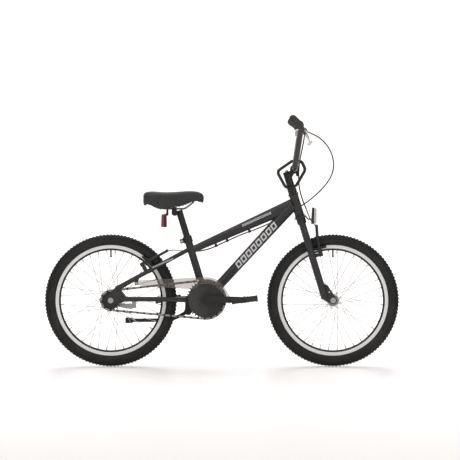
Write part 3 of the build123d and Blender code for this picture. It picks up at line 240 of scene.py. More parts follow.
def weathering_group():
    """Uneven colour, dust in patches and uneven gloss, for any surface."""
    group, given, made = new_group(
        "weathering",
        [("Vector", "NodeSocketVector", None), ("Color", "NodeSocketColor", (0.1, 0.1, 0.1, 1)),
         ("Dust Color", "NodeSocketColor", (0.35, 0.33, 0.3, 1)), ("Dust", "NodeSocketFloat", 0.1),
         ("Roughness", "NodeSocketFloat", 0.5), ("Spread", "NodeSocketFloat", 0.1)],
        [("Color", "NodeSocketColor"), ("Roughness", "NodeSocketFloat")])
    vector = given.outputs["Vector"]
    broad = noise(group, vector, 14.0, 4.0)
    fine = noise(group, vector, 160.0, 3.0, 0.6)
    blotches = reckon(group, "ADD", broad, reckon(group, "MULTIPLY", fine, 0.3))
    patches = smooth_step(group, blotches, 0.55, 0.95)
    dust = reckon(group, "MULTIPLY", patches, given.outputs["Dust"], clamp=True)
    paler = (0.09, 0.088, 0.085, 1)
    toned = mixed(group, reckon(group, "MULTIPLY", fine, 0.18), given.outputs["Color"], paler)
    coloured = mixed(group, dust, toned, given.outputs["Dust Color"])
    swing = reckon(group, "MULTIPLY", reckon(group, "SUBTRACT", broad, 0.5), given.outputs["Spread"])
    rough = reckon(group, "ADD", given.outputs["Roughness"], swing)
    rough = reckon(group, "ADD", rough, reckon(group, "MULTIPLY", dust, 0.4), clamp=True)
    group.links.new(coloured, made.inputs["Color"])
    group.links.new(rough, made.inputs["Roughness"])
    return group


def grain_group():
    """Height of a fine moulded or powder-coated grain."""
    group, given, made = new_group(
        "grain",
        [("Vector", "NodeSocketVector", None), ("Scale", "NodeSocketFloat", 900.0),
         ("Pits", "NodeSocketFloat", 0.5)],
        [("Height", "NodeSocketFloat")])
    cells = add_node(group, "ShaderNodeTexVoronoi", feature="SMOOTH_F1")
    group.links.new(given.outputs["Vector"], cells.inputs["Vector"])
    group.links.new(given.outputs["Scale"], cells.inputs["Scale"])
    speckle = add_node(group, "ShaderNodeTexNoise")
    group.links.new(given.outputs["Vector"], speckle.inputs["Vector"])
    group.links.new(given.outputs["Scale"], speckle.inputs["Scale"])
    pits = reckon(group, "MULTIPLY", cells.outputs["Distance"], given.outputs["Pits"])
    height = reckon(group, "ADD", pits, reckon(group, "MULTIPLY", speckle.outputs["Fac"], 0.6))
    group.links.new(height, made.inputs["Height"])
    return group


def polar_group():
    """A point's distance from a wheel's axle, its angle round it and its distance from the wheel's middle."""
    group, given, made = new_group(
        "wheel_polar",
        [("Vector", "NodeSocketVector", None), ("Centre", "NodeSocketVector", None)],
        [("Radius", "NodeSocketFloat"), ("Angle", "NodeSocketFloat"), ("Side", "NodeSocketFloat")])
    offset = add_node(group, "ShaderNodeVectorMath", operation="SUBTRACT")
    group.links.new(given.outputs["Vector"], offset.inputs[0])
    group.links.new(given.outputs["Centre"], offset.inputs[1])
    x, y, z = axes_of(group, offset.outputs[0])
    square = reckon(group, "ADD", reckon(group, "MULTIPLY", x, x), reckon(group, "MULTIPLY", z, z))
    group.links.new(reckon(group, "SQRT", square), made.inputs["Radius"])
    group.links.new(reckon(group, "ARCTAN2", z, x), made.inputs["Angle"])
    group.links.new(reckon(group, "ABSOLUTE", y), made.inputs["Side"])
    return group


def stripe_group():
    """Rows of slanted hollow blocks printed along a tube, from a start, a direction and a length."""
    group, given, made = new_group(
        "tube_bars",
        [("Vector", "NodeSocketVector", None), ("Start", "NodeSocketVector", None),
         ("Along", "NodeSocketVector", None), ("Up", "NodeSocketVector", None),
         ("Length", "NodeSocketFloat", 0.2), ("Half Height", "NodeSocketFloat", 0.01),
         ("Pitch", "NodeSocketFloat", 0.03), ("Side", "NodeSocketFloat", 0.008)],
        [("Mask", "NodeSocketFloat")])
    offset = add_node(group, "ShaderNodeVectorMath", operation="SUBTRACT")
    group.links.new(given.outputs["Vector"], offset.inputs[0])
    group.links.new(given.outputs["Start"], offset.inputs[1])

    def shadow(direction):
        node = add_node(group, "ShaderNodeVectorMath", operation="DOT_PRODUCT")
        group.links.new(offset.outputs[0], node.inputs[0])
        group.links.new(given.outputs[direction], node.inputs[1])
        return node.outputs["Value"]

    along, up = shadow("Along"), shadow("Up")
    leaned = reckon(group, "SUBTRACT", along, reckon(group, "MULTIPLY", up, 0.25))
    turn = reckon(group, "FRACT", reckon(group, "DIVIDE", leaned, given.outputs["Pitch"]))
    centred = reckon(group, "ABSOLUTE", reckon(group, "SUBTRACT", turn, 0.5))
    block = reckon(group, "LESS_THAN", centred, 0.4)
    half = given.outputs["Half Height"]
    reach = reckon(group, "DIVIDE", reckon(group, "ABSOLUTE", up), half)
    hollow = reckon(group, "MULTIPLY", reckon(group, "LESS_THAN", centred, 0.2),
                    reckon(group, "LESS_THAN", reach, 0.52))
    bars = reckon(group, "SUBTRACT", block, hollow, clamp=True)
    share = reckon(group, "DIVIDE", along, given.outputs["Length"])
    inside = within(group, share, 0.0, 1.0)
    tall = reckon(group, "LESS_THAN", reckon(group, "ABSOLUTE", up), half)
    _, y, _ = axes_of(group, given.outputs["Vector"])
    flank = reckon(group, "GREATER_THAN", reckon(group, "ABSOLUTE", y), given.outputs["Side"])
    mask = reckon(group, "MULTIPLY", reckon(group, "MULTIPLY", bars, inside),
                  reckon(group, "MULTIPLY", tall, flank))
    group.links.new(mask, made.inputs["Mask"])
    return group


def shared(name):
    """A node group by name, built the first time it is asked for."""
    builders = {"weathering": weathering_group, "grain": grain_group,
                "wheel_polar": polar_group, "tube_bars": stripe_group}
    return bpy.data.node_groups.get(name) or builders[name]()


def use_group(tree, name, **values):
    node = add_node(tree, "ShaderNodeGroup", node_tree=shared(name))
    for label, value in values.items():
        socket = node.inputs[label.replace("_", " ")]
        if isinstance(value, bpy.types.NodeSocket):
            tree.links.new(value, socket)
        else:
            socket.default_value = value
    return node


# ---- finishes ----

BLACK = (0.012, 0.012, 0.012, 1)
STEEL = (0.62, 0.62, 0.62, 1)


def new_finish(name):
    """An empty material: its tree, its Principled node and its Object coordinates."""
    made = bpy.data.materials.new(name)
    made.use_nodes = True
    tree = made.node_tree
    shader = tree.nodes["Principled BSDF"]
    place = add_node(tree, "ShaderNodeTexCoord").outputs["Object"]
    return made, tree, shader, place


def add_bump(tree, shader, height, strength, distance):
    bump = add_node(tree, "ShaderNodeBump")
    bump.inputs["Strength"].default_value = strength
    bump.inputs["Distance"].default_value = distance
    tree.links.new(height, bump.inputs["Height"])
    tree.links.new(bump.outputs["Normal"], shader.inputs["Normal"])


def weather_over(tree, shader, place, **values):
    """Give the shader uneven gloss, and return the weathered colour, to be used as it is or printed on."""
    weather = use_group(tree, "weathering", Vector=place, **values)
    tree.links.new(weather.outputs["Roughness"], shader.inputs["Roughness"])
    return weather.outputs["Color"]


def add_grain(tree, shader, place, scale, strength, distance, **values):
    """A bump of the fine grain."""
    height = use_group(tree, "grain", Vector=place, Scale=scale, **values).outputs["Height"]
    add_bump(tree, shader, height, strength, distance)


def plain_finish(name, colour, roughness, metallic=0.0, dust=0.12, grain=700.0, bump=0.15, coat=0.0):
    """A paint, plastic, rubber or metal: weathered colour and gloss over a fine grain."""
    made, tree, shader, place = new_finish(name)
    weathered = weather_over(tree, shader, place, Color=colour, Dust=dust, Roughness=roughness, Spread=0.15)
    tree.links.new(weathered, shader.inputs["Base Color"])
    shader.inputs["Metallic"].default_value = metallic
    shader.inputs["Coat Weight"].default_value = coat
    shader.inputs["Coat Roughness"].default_value = 0.12
    add_grain(tree, shader, place, grain, bump, 0.15 * MM)
    return made


def brushed_finish(name, colour, roughness, streak=(900.0, 40.0, 900.0), dust=0.04):
    """Drawn, ground or plated metal with fine streaks."""
    made, tree, shader, place = new_finish(name)
    weathered = weather_over(tree, shader, place, Color=colour, Dust=dust, Roughness=roughness, Spread=0.25)
    tree.links.new(weathered, shader.inputs["Base Color"])
    shader.inputs["Metallic"].default_value = 1.0
    stretch = add_node(tree, "ShaderNodeMapping")
    stretch.inputs["Scale"].default_value = streak
    tree.links.new(place, stretch.inputs["Vector"])
    add_bump(tree, shader, noise(tree, stretch.outputs["Vector"], 1.0, 4.0), 0.12, 0.1 * MM)
    return made


# rows of blocks on the side of a tube: start from the crank axle, direction, length, half height, pitch
DOWN_TUBE_WAY = Vector((0.677, 0.0, 0.736))
BLOCK_ROWS = (
    (DOWN_TUBE_WAY * 0.168, DOWN_TUBE_WAY, 0.222, 11.5 * MM, 27.75 * MM),
    (Vector((0.136, 0, 0.2785)), Vector((0.911, 0.0, 0.412)), 0.12, 4 * MM, 10 * MM),
    (Vector((-0.204, 0, 0.1205)), Vector((0.92, 0.0, 0.392)), 0.088, 2.4 * MM, 8 * MM),
)


def frame_paint():
    """Matt powder coat with rows of plain pale blocks printed along three of the tubes."""
    colours = bpy.context.scene.bike_colours
    made, tree, shader, place = new_finish("frame_paint")
    paint = weather_over(tree, shader, place, Color=tuple(colours.paint), Dust=0.05,
                         Roughness=0.42, Spread=0.2)
    axle = middle_of("crank_axle")
    mask = 0.0
    for offset, along, length, height, pitch in BLOCK_ROWS:
        start = Vector((axle.x, 0, axle.z)) + offset
        up = Vector((-along.z, 0, along.x))
        bars = use_group(tree, "tube_bars", Vector=place, Start=start, Along=along, Up=up,
                         Length=length, Half_Height=height, Pitch=pitch, Side=6 * MM).outputs["Mask"]
        mask = reckon(tree, "MAXIMUM", mask, bars)
    worn = reckon(tree, "MULTIPLY", mask, smooth_step(tree, noise(tree, place, 420.0), 0.22, 0.34))
    tree.links.new(mixed(tree, worn, paint, (0.72, 0.72, 0.73, 1)), shader.inputs["Base Color"])
    add_grain(tree, shader, place, 1500.0, 0.12, 0.08 * MM, Pits=0.3)
    return made


def rim_finish(which):
    """Black anodised rim with a machined silver brake track on each side."""
    made, tree, shader, place = new_finish(f"{which}_rim_finish")
    polar = use_group(tree, "wheel_polar", Vector=place, Centre=WHEELS[which]["centre"])
    radius = polar.outputs["Radius"]
    outer_band = smooth_step(tree, radius, BRAKE_TRACK_INNER, BRAKE_TRACK_INNER + 0.4 * MM)
    track = reckon(tree, "MULTIPLY", outer_band, smooth_step(tree, polar.outputs["Side"], 10.5 * MM, 11 * MM))
    rings = noise(tree, radius, 5200.0, 2.0)
    silver = mixed(tree, rings, (0.95, 0.94, 0.93, 1), (1.0, 0.99, 0.98, 1))
    tree.links.new(mixed(tree, track, (0.015, 0.015, 0.016, 1), silver), shader.inputs["Base Color"])
    tree.links.new(reckon(tree, "MULTIPLY", track, 0.1), shader.inputs["Metallic"])
    weather_over(tree, shader, place, Roughness=0.33, Spread=0.25)
    add_bump(tree, shader, reckon(tree, "MULTIPLY", rings, track), 0.2, 0.1 * MM)
    return made


def tyre_finish(which):
    """Black rubber with raised rings and fine radial lines on the sidewall."""
    rubber = tuple(bpy.context.scene.bike_colours.rubber)
    made, tree, shader, place = new_finish(f"{which}_tyre_rubber")
    polar = use_group(tree, "wheel_polar", Vector=place, Centre=WHEELS[which]["centre"])
    radius, angle = polar.outputs["Radius"], polar.outputs["Angle"]
    shader.inputs["Specular IOR Level"].default_value = 0.32
    weathered = weather_over(tree, shader, place, Color=rubber, Dust=0.05, Roughness=0.55, Spread=0.2)
    tree.links.new(weathered, shader.inputs["Base Color"])
    crown = smooth_step(tree, radius, TYRE_MIDDLE + 5 * MM, TYRE_MIDDLE + 9 * MM)
    sidewall = reckon(tree, "SUBTRACT", 1.0, crown)
    lines = reckon(tree, "SINE", reckon(tree, "MULTIPLY", angle, 360.0))
    rings = reckon(tree, "SINE", reckon(tree, "MULTIPLY", radius, FULL_TURN / (4.2 * MM)))
    pattern = reckon(tree, "ADD", reckon(tree, "MULTIPLY", lines, 0.35), rings)
    height = reckon(tree, "MULTIPLY", pattern, sidewall)
    grain = use_group(tree, "grain", Vector=place, Scale=1100.0).outputs["Height"]
    height = reckon(tree, "ADD", height, reckon(tree, "MULTIPLY", grain, 0.5))
    add_bump(tree, shader, height, 0.35, 0.4 * MM)
    return made


def vinyl_finish():
    """Saddle skin: pebbled vinyl with a soft sheen."""
    vinyl = tuple(bpy.context.scene.bike_colours.vinyl)
    made, tree, shader, place = new_finish("saddle_vinyl")
    weathered = weather_over(tree, shader, place, Color=vinyl, Dust=0.06, Roughness=0.5, Spread=0.18)
    tree.links.new(weathered, shader.inputs["Base Color"])
    shader.inputs["Sheen Weight"].default_value = 0.08
    add_grain(tree, shader, place, 620.0, 0.45, 0.3 * MM, Pits=0.9)
    return made


def lens_finish(name, colour):
    """Reflector plastic with rows of small prisms under a glossy face, the middle of each prism painted paler as a
    painted glint.
    """
    made, tree, shader, place = new_finish(name)
    cells = add_node(tree, "ShaderNodeTexVoronoi", distance="MANHATTAN")
    cells.inputs["Scale"].default_value = 260.0
    cells.inputs["Randomness"].default_value = 0.0
    tree.links.new(place, cells.inputs["Vector"])
    # Painted highlight: a paler copy of the lens colour in the middle of each prism cell stands in for the prisms'
    # glints.
    painted_prism_glint = tuple(min(1.0, 1.9 * c + 0.03) for c in colour[:3]) + (1,)
    tree.links.new(mixed(tree, cells.outputs["Distance"], painted_prism_glint, colour), shader.inputs["Base Color"])
    shader.inputs["Roughness"].default_value = 0.14
    shader.inputs["Coat Weight"].default_value = 0.8
    add_bump(tree, shader, cells.outputs["Distance"], 0.5, 0.5 * MM)
    return made


def clear_guard_finish():
    """Smoky clear plastic of the chain guard."""
    made, tree, shader, place = new_finish("smoky_guard")
    haze = noise(tree, place, 30.0, 4.0)
    smoke = mixed(tree, haze, (0.16, 0.13, 0.105, 1), (0.27, 0.23, 0.19, 1))
    tree.links.new(smoke, shader.inputs["Base Color"])
    weather_over(tree, shader, place, Roughness=0.14, Spread=0.15)
    tree.links.new(reckon(tree, "ADD", 0.30, reckon(tree, "MULTIPLY", haze, 0.14)), shader.inputs["Alpha"])
    add_bump(tree, shader, noise(tree, place, 60.0), 0.08, 0.3 * MM)
    return made


# where a brake's bent pipe and bare wire are: behind the seat tube, and above the front arms
REAR_STEEL_X = (-0.2035, -0.1429)
FRONT_STEEL_Z = (0.5345, 0.5955)
FRONT_STEEL_MIN_X = 0.3


def steel_ends(tree, place):
    """1 on the brakes' bent steel pipes and wires, and 0 elsewhere."""
    x, _, z = axes_of(tree, place)
    front = reckon(tree, "MULTIPLY", within(tree, z, *FRONT_STEEL_Z),
                   reckon(tree, "GREATER_THAN", x, FRONT_STEEL_MIN_X))
    return reckon(tree, "MAXIMUM", within(tree, x, *REAR_STEEL_X), front)


def cable_finish():
    """Black cable housing, bare steel where the wire runs between the brake arms."""
    made, tree, shader, place = new_finish("cable_cover")
    bare = steel_ends(tree, place)
    housing = weather_over(tree, shader, place, Color=(0.013, 0.013, 0.014, 1), Dust=0.05,
                           Roughness=0.34, Spread=0.2)
    tree.links.new(mixed(tree, bare, housing, STEEL), shader.inputs["Base Color"])
    tree.links.new(bare, shader.inputs["Metallic"])
    add_bump(tree, shader, noise(tree, place, 900.0, 2.0), 0.1, 0.1 * MM)
    return made


def brake_arm_finish():
    """Black brake arms with a polished bent pipe."""
    made, tree, shader, place = new_finish("brake_arm_black")
    bare = steel_ends(tree, place)
    arm = weather_over(tree, shader, place, Color=(0.016, 0.016, 0.016, 1), Dust=0.05,
                       Roughness=0.34, Spread=0.2)
    tree.links.new(mixed(tree, bare, arm, (0.8, 0.8, 0.8, 1)), shader.inputs["Base Color"])
    tree.links.new(reckon(tree, "ADD", bare, 0.1, clamp=True), shader.inputs["Metallic"])
    add_grain(tree, shader, place, 800.0, 0.12, 0.1 * MM)
    return made


def all_finishes():
    """Every finish by the name of the record's slot."""
    return {
        "frame_paint": frame_paint(),
        "bar_paint": plain_finish("bar_gloss", BLACK, 0.25, dust=0.03, coat=0.5, bump=0.05),
        "black_metal": plain_finish("black_metal", BLACK, 0.36, metallic=0.2, dust=0.05, bump=0.08),
        "black_steel": plain_finish("black_steel", BLACK, 0.34, metallic=0.2, dust=0.06, bump=0.08),
        "bearing_metal": plain_finish("bearing_black", (0.02, 0.02, 0.02, 1), 0.3, metallic=0.5, dust=0.04),
        "black_plastic": plain_finish("black_plastic", (0.014, 0.014, 0.014, 1), 0.5, grain=900.0, bump=0.3),
        "pedal_plastic": plain_finish("pedal_plastic", (0.013, 0.013, 0.013, 1), 0.55, grain=800.0,
                                      bump=0.35),
        "tube_rubber": plain_finish("valve_rubber", (0.015, 0.015, 0.015, 1), 0.5),
        "foot_rubber": plain_finish("foot_rubber", (0.013, 0.013, 0.013, 1), 0.7, grain=500.0, bump=0.4),
        "grip_rubber": plain_finish("grip_rubber", (0.016, 0.015, 0.015, 1), 0.62, grain=800.0, bump=0.35),
        "cable_black": cable_finish(),
        "spoke_steel": brushed_finish("spoke_steel", STEEL, 0.38),
        "hub_metal": brushed_finish("hub_metal", (0.42, 0.42, 0.42, 1), 0.32, (300.0, 1200.0, 300.0)),
        "zinc_steel": brushed_finish("zinc_steel", (0.66, 0.66, 0.66, 1), 0.3),
        "chain_steel": brushed_finish("chain_steel", (0.62, 0.6, 0.57, 1), 0.32, dust=0.06),
        "dark_chain": brushed_finish("dark_chain_steel", (0.05, 0.046, 0.042, 1), 0.4, dust=0.06),
        "sprocket_steel": brushed_finish("sprocket_steel", (0.06, 0.058, 0.055, 1), 0.38),
        "brake_steel": brushed_finish("brake_steel", (0.68, 0.68, 0.68, 1), 0.34, (60.0, 900.0, 900.0)),
        "rail_steel": brushed_finish("rail_steel", (0.22, 0.22, 0.22, 1), 0.3),
        "brake_metal": brake_arm_finish(),
        "lever_metal": brushed_finish("lever_metal", (0.82, 0.82, 0.82, 1), 0.3),
        "bell_metal": brushed_finish("bell_metal", (0.75, 0.75, 0.75, 1), 0.16, (200.0, 900.0, 900.0)),
        "clear_plastic": clear_guard_finish(),
        "clear_lens": lens_finish("clear_lens", (0.62, 0.63, 0.66, 1)),
        "red_lens": lens_finish("red_lens", (0.50, 0.012, 0.012, 1)),
        "saddle_vinyl": vinyl_finish(),
    }


# every finish by slot or node, filled by the first operator
FINISHES = {}


# ---- modelling helpers ----

def deselect_all():
    if bpy.context.object and bpy.context.object.mode != "OBJECT":
        bpy.ops.object.mode_set(mode="OBJECT")
    bpy.ops.object.select_all(action="DESELECT")


def take_new(name):
    """Name the primitive that was just added."""
    made = bpy.context.object
    made.name = name
    made.data.name = name
    return made


def place_in_mesh(piece):
    """Move the object's place into its mesh, so the object sits at the origin."""
    bpy.context.view_layer.update()
    piece.data.transform(piece.matrix_world)
    piece.matrix_world = Matrix.Identity(4)


def join_into(pieces, name):
    deselect_all()
    for piece in pieces:
        piece.select_set(True)
    bpy.context.view_layer.objects.active = pieces[0]
    if len(pieces) > 1:
        bpy.ops.object.join()
    return take_new(name)


def in_edit(piece):
    deselect_all()
    piece.select_set(True)
    bpy.context.view_layer.objects.active = piece
    bpy.ops.object.mode_set(mode="EDIT")
    bpy.ops.mesh.select_all(action="SELECT")


def pick_in_edit(piece, kind, chosen):
    """Go to edit mode with only those edges or polygons selected that a test chooses."""
    in_edit(piece)
    bpy.ops.mesh.select_all(action="DESELECT")
    bpy.ops.object.mode_set(mode="OBJECT")
    for part in getattr(piece.data, kind):
        part.select = chosen(part)
    bpy.ops.object.mode_set(mode="EDIT")


def edge_ends(piece, edge):
    return [piece.data.vertices[index].co for index in edge.vertices]


def copy_of(node, name):
    """A merged copy of a CAD node's mesh as a piece of its own."""
    deselect_all()
    mesh = NODES[node].data.copy()
    made = bpy.data.objects.new(name, mesh)
    bpy.context.scene.collection.objects.link(made)
    in_edit(made)
    bpy.ops.mesh.remove_doubles(threshold=1e-5)
    bpy.ops.object.mode_set(mode="OBJECT")
    return made


def apply_modifier(piece, kind, **settings):
    modifier = piece.modifiers.new(kind.lower(), kind)
    for key, value in settings.items():
        setattr(modifier, key, value)
    bpy.context.view_layer.objects.active = piece
    bpy.ops.object.modifier_apply(modifier=modifier.name)


def finish_piece(piece, body, material, smooth=35.0):
    """Outward faces, smooth shading, finish and body."""
    in_edit(piece)
    bpy.ops.mesh.normals_make_consistent(inside=False)
    bpy.ops.object.mode_set(mode="OBJECT")
    bpy.ops.object.shade_smooth_by_angle(angle=math.radians(smooth))
    piece.data.materials.clear()
    piece.data.materials.append(material)
    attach(piece, body)
    return piece


def repeat_round(piece, centre, count):
    """Copy the whole mesh round a wheel's axle, evenly."""
    in_edit(piece)
    share = FULL_TURN * (count - 1) / count
    bpy.ops.mesh.spin(steps=count - 1, dupli=True, angle=share, center=centre, axis=(0, 1, 0))
    bpy.ops.object.mode_set(mode="OBJECT")


def turned(name, profile, segments):
    """A solid of revolution about Z, extruded from one (height, radius) to the next, with filled ends."""
    deselect_all()
    height, radius = profile[0]
    bpy.ops.mesh.primitive_circle_add(vertices=segments, radius=radius, fill_type="NOTHING",
                                      location=(0, 0, height))
    made = take_new(name)
    place_in_mesh(made)
    in_edit(made)
    bpy.ops.mesh.edge_face_add()
    bpy.ops.mesh.duplicate()
    bpy.ops.mesh.delete(type="ONLY_FACE")
    bpy.ops.mesh.select_all(action="DESELECT")
    bpy.ops.object.mode_set(mode="OBJECT")
    count = len(made.data.vertices)
    for vertex in made.data.vertices:
        vertex.select = vertex.index >= count - segments
    bpy.ops.object.mode_set(mode="EDIT")
    for (low, wide), (high, next_wide) in zip(profile, profile[1:]):
        bpy.ops.mesh.extrude_region_move(TRANSFORM_OT_translate={"value": (0, 0, high - low)})
        ratio = next_wide / wide
        bpy.ops.transform.resize(value=(ratio, ratio, 1.0), center_override=(0, 0, high))
    bpy.ops.mesh.edge_face_add()
    bpy.ops.mesh.select_all(action="SELECT")
    bpy.ops.mesh.remove_doubles(threshold=1e-6)
    bpy.ops.object.mode_set(mode="OBJECT")
    return made


def stand_along(piece, start, direction):
    """Turn a piece made along Z so it starts at a point and runs along a direction."""
    turn = direction.to_track_quat("Z", "Y").to_matrix().to_4x4()
    piece.data.transform(Matrix.Translation(start) @ turn)


# ---- tyres ----

def inset_casing(which):
    """A copy of the tyre with its crown drawn in by the height of the knobs."""
    wheel, depth = WHEELS[which], bpy.context.scene.bike_sizes.knob_height
    casing = copy_of(f"{which}_tyre", f"{which}_casing")
    mesh = casing.data
    place = points_of(mesh) - np.array(wheel["centre"])
    radial = np.hypot(place[:, 0], place[:, 2])
    heart = place / radial[:, None] * TYRE_MIDDLE
    heart[:, 1] = 0
    inward = heart - place
    inward /= np.maximum(np.linalg.norm(inward, axis=1, keepdims=True), 1e-9)
    share = np.clip((radial - (TYRE_MIDDLE - 9 * MM)) / (10 * MM), 0, 1)[:, None]
    place += inward * share * depth + np.array(wheel["centre"])
    mesh.vertices.foreach_set("co", place.ravel())
    mesh.update()
    return casing


def tread_block(index, across, length, width, lean, height):
    """One tapered, bevelled block at the top of a wheel centred on the origin."""
    casing = TYRE_ROUND - height
    crown = TYRE_MIDDLE + casing * math.cos(across)
    side = casing * math.sin(across)
    deselect_all()
    bpy.ops.mesh.primitive_cube_add(size=1.0)
    block = take_new(f"block_{index}")
    root = 1.2 * MM
    block.data.transform(Matrix.Diagonal((length, width, height + root, 1)))
    pick_in_edit(block, "polygons", lambda face: face.normal.z > 0.9)
    bpy.ops.transform.resize(value=(0.8, 0.82, 1.0), center_override=(0, 0, (height + root) / 2))
    bpy.ops.mesh.bevel(offset=0.5 * MM, segments=1, affect="EDGES")
    bpy.ops.object.mode_set(mode="OBJECT")
    out = Matrix.Translation((0, 0, (height + root) / 2 - root))
    turn = Matrix.Rotation(-across, 4, "X")
    slant = Matrix.Rotation(lean, 4, "Z")
    block.data.transform(Matrix.Translation((0, side, crown)) @ turn @ out @ slant)
    return block


KNOB_ROWS = (
    # angle across the tyre, length, width, slant, step round the wheel as a share of the pitch
    (0.17, 6.6 * MM, 5.2 * MM, 0.22, 0.0), (-0.17, 6.6 * MM, 5.2 * MM, -0.22, 0.06),
    (0.55, 6.4 * MM, 6.0 * MM, -0.25, 0.5), (-0.55, 6.4 * MM, 6.0 * MM, 0.25, 0.56),
    (0.98, 7.0 * MM, 8.6 * MM, 0.0, 0.0), (-0.98, 7.0 * MM, 8.6 * MM, 0.0, 0.06),
)


class BIKE_OT_tread(bpy.types.Operator):
    """Model the knobs of both tyres: two crown rows, two middle rows and two rows of side lugs"""
    bl_idname = "bike.tread"
    bl_label = "Tyre Tread"

    def execute(self, context):
        sizes = context.scene.bike_sizes
        count = sizes.knob_rows
        pitch = FULL_TURN / count
        for which, wheel in WHEELS.items():
            blocks = []
            for index, (across, length, width, lean, step) in enumerate(KNOB_ROWS):
                block = tread_block(index, across, length, width, lean, sizes.knob_height)
                block.data.transform(Matrix.Rotation(step * pitch, 4, "Y"))
                blocks.append(block)
            tread = join_into(blocks, f"{which}_tread")
            tread.data.transform(Matrix.Translation(wheel["centre"]))
            repeat_round(tread, wheel["centre"], count)
            rubber = FINISHES[f"{which}_tyre"]
            finish_piece(tread, wheel["body"], rubber, 25.0)
            casing = finish_piece(inset_casing(which), wheel["body"], rubber, 40.0)
            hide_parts(f"{which}_tyre")
        return {"FINISHED"}


# ---- spokes ----

SPOKE_GROUPS = 9
NIPPLE_LEAN = math.radians(7.0)
# degrees round the rim, side of the hub, and lean of each nipple in a group of four
NIPPLE_PLACES = ((5, 1, NIPPLE_LEAN), (25, 1, -NIPPLE_LEAN), (15, -1, -NIPPLE_LEAN), (35, -1, NIPPLE_LEAN))
NIPPLE_PROFILE = (
    (-1.0 * MM, 2.6 * MM), (0.8 * MM, 2.6 * MM), (2.0 * MM, 1.9 * MM),
    (9.5 * MM, 1.8 * MM), (11.0 * MM, 1.25 * MM),
)


class BIKE_OT_nipples(bpy.types.Operator):
    """Model the spoke nipples where the spokes meet each rim"""
    bl_idname = "bike.nipples"
    bl_label = "Spoke Nipples"

    def execute(self, context):
        for which, wheel in WHEELS.items():
            made = []
            for index, (angle, side, lean) in enumerate(NIPPLE_PLACES):
                nipple = turned(f"nipple_{index}", NIPPLE_PROFILE, 10)
                nipple.data.transform(Matrix.Rotation(lean, 4, "Y"))
                seat = Matrix.Translation((0, side * 4 * MM, -RIM_INNER + 0.6 * MM))
                nipple.data.transform(Matrix.Rotation(math.radians(-angle - 90), 4, "Y") @ seat)
                made.append(nipple)
            piece = join_into(made, f"{which}_nipples")
            piece.data.transform(Matrix.Translation(wheel["centre"]))
            repeat_round(piece, wheel["centre"], SPOKE_GROUPS)
            finish_piece(piece, wheel["body"], FINISHES["zinc_steel"])
        return {"FINISHED"}


# ---- grips ----

class BIKE_OT_grips(bpy.types.Operator):
    """Model a ribbed grip with a flange and a rounded end on each side of the handlebar"""
    bl_idname = "bike.grips"
    bl_label = "Grips"

    def execute(self, context):
        ribs = context.scene.bike_sizes.grip_ribs
        for side, word in ((1, "left"), (-1, "right")):
            start, direction, length = long_axis("grips", side)
            body, flange = 13.2 * MM, 17.2 * MM
            profile = [(0, 12.0 * MM), (0.4 * MM, flange - 1.2 * MM), (1.6 * MM, flange), (2.8 * MM, flange),
                       (4.0 * MM, flange - 1.2 * MM), (5.4 * MM, body)]
            first, last = 9 * MM, length - 11 * MM
            pitch = (last - first) / ribs
            for rib in range(ribs):
                base = first + rib * pitch
                crest = body + (1.3 * MM if rib % 6 else 0.5 * MM)
                profile += [(base, body), (base + 0.22 * pitch, crest), (base + 0.62 * pitch, crest),
                            (base + 0.84 * pitch, body)]
            profile += [(last + 1 * MM, body), (last + 2.4 * MM, 14.4 * MM), (length - 4 * MM, 14.4 * MM),
                        (length - 1.6 * MM, 13.4 * MM), (length - 0.3 * MM, 10.8 * MM), (length, 7 * MM)]
            grip = turned(f"grip_{word}", profile, 48)
            stand_along(grip, start, direction)
            finish_piece(grip, "fork", FINISHES["grip_rubber"], 40.0)
            if side > 0:
                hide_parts("grips")
        return {"FINISHED"}


# ---- saddle ----

def puff_up(piece, limit):
    """Let the foam press the skin out a little, with no point moving further than the limit."""
    rest = np.array([v.co for v in piece.data.vertices])
    cloth = piece.modifiers.new("cloth", "CLOTH")
    cloth.settings.use_pressure = True
    cloth.settings.uniform_pressure_force = 3.0
    cloth.settings.tension_stiffness = 40
    cloth.settings.compression_stiffness = 40
    cloth.settings.bending_stiffness = 2
    cloth.settings.effector_weights.gravity = 0
    scene = bpy.context.scene
    for step in range(1, 15):
        scene.frame_set(step)
    evaluated = piece.evaluated_get(bpy.context.evaluated_depsgraph_get())
    moved = np.array([v.co for v in evaluated.data.vertices])
    piece.modifiers.clear()
    scene.frame_set(1)
    shift = moved - rest
    length = np.linalg.norm(shift, axis=1, keepdims=True)
    shift *= np.minimum(1.0, limit / np.maximum(length, 1e-9))
    for vertex, place in zip(piece.data.vertices, rest + shift):
        vertex.co = place


FOAM_VOXEL = 3.2 * MM
FOAM_SWELL = 1.6 * MM


class BIKE_OT_saddle(bpy.types.Operator):
    """Model the padded saddle skin"""
    bl_idname = "bike.saddle"
    bl_label = "Saddle"

    def execute(self, context):
        skin = copy_of("saddle_cover", "saddle_skin")
        apply_modifier(skin, "REMESH", mode="VOXEL", voxel_size=FOAM_VOXEL)
        apply_modifier(skin, "SMOOTH", factor=0.5, iterations=10)
        puff_up(skin, FOAM_SWELL)
        apply_modifier(skin, "SMOOTH", factor=0.5, iterations=3)
        apply_modifier(skin, "SUBSURF", levels=1, render_levels=1)
        finish_piece(skin, "saddle", FINISHES["saddle_vinyl"], 180.0)
        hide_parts("saddle_cover")
        return {"FINISHED"}


# ---- chain ----

CHAIN_PITCH = 12.7 * MM
RING_TEETH, COG_TEETH, LINKS = 36, 18, 84


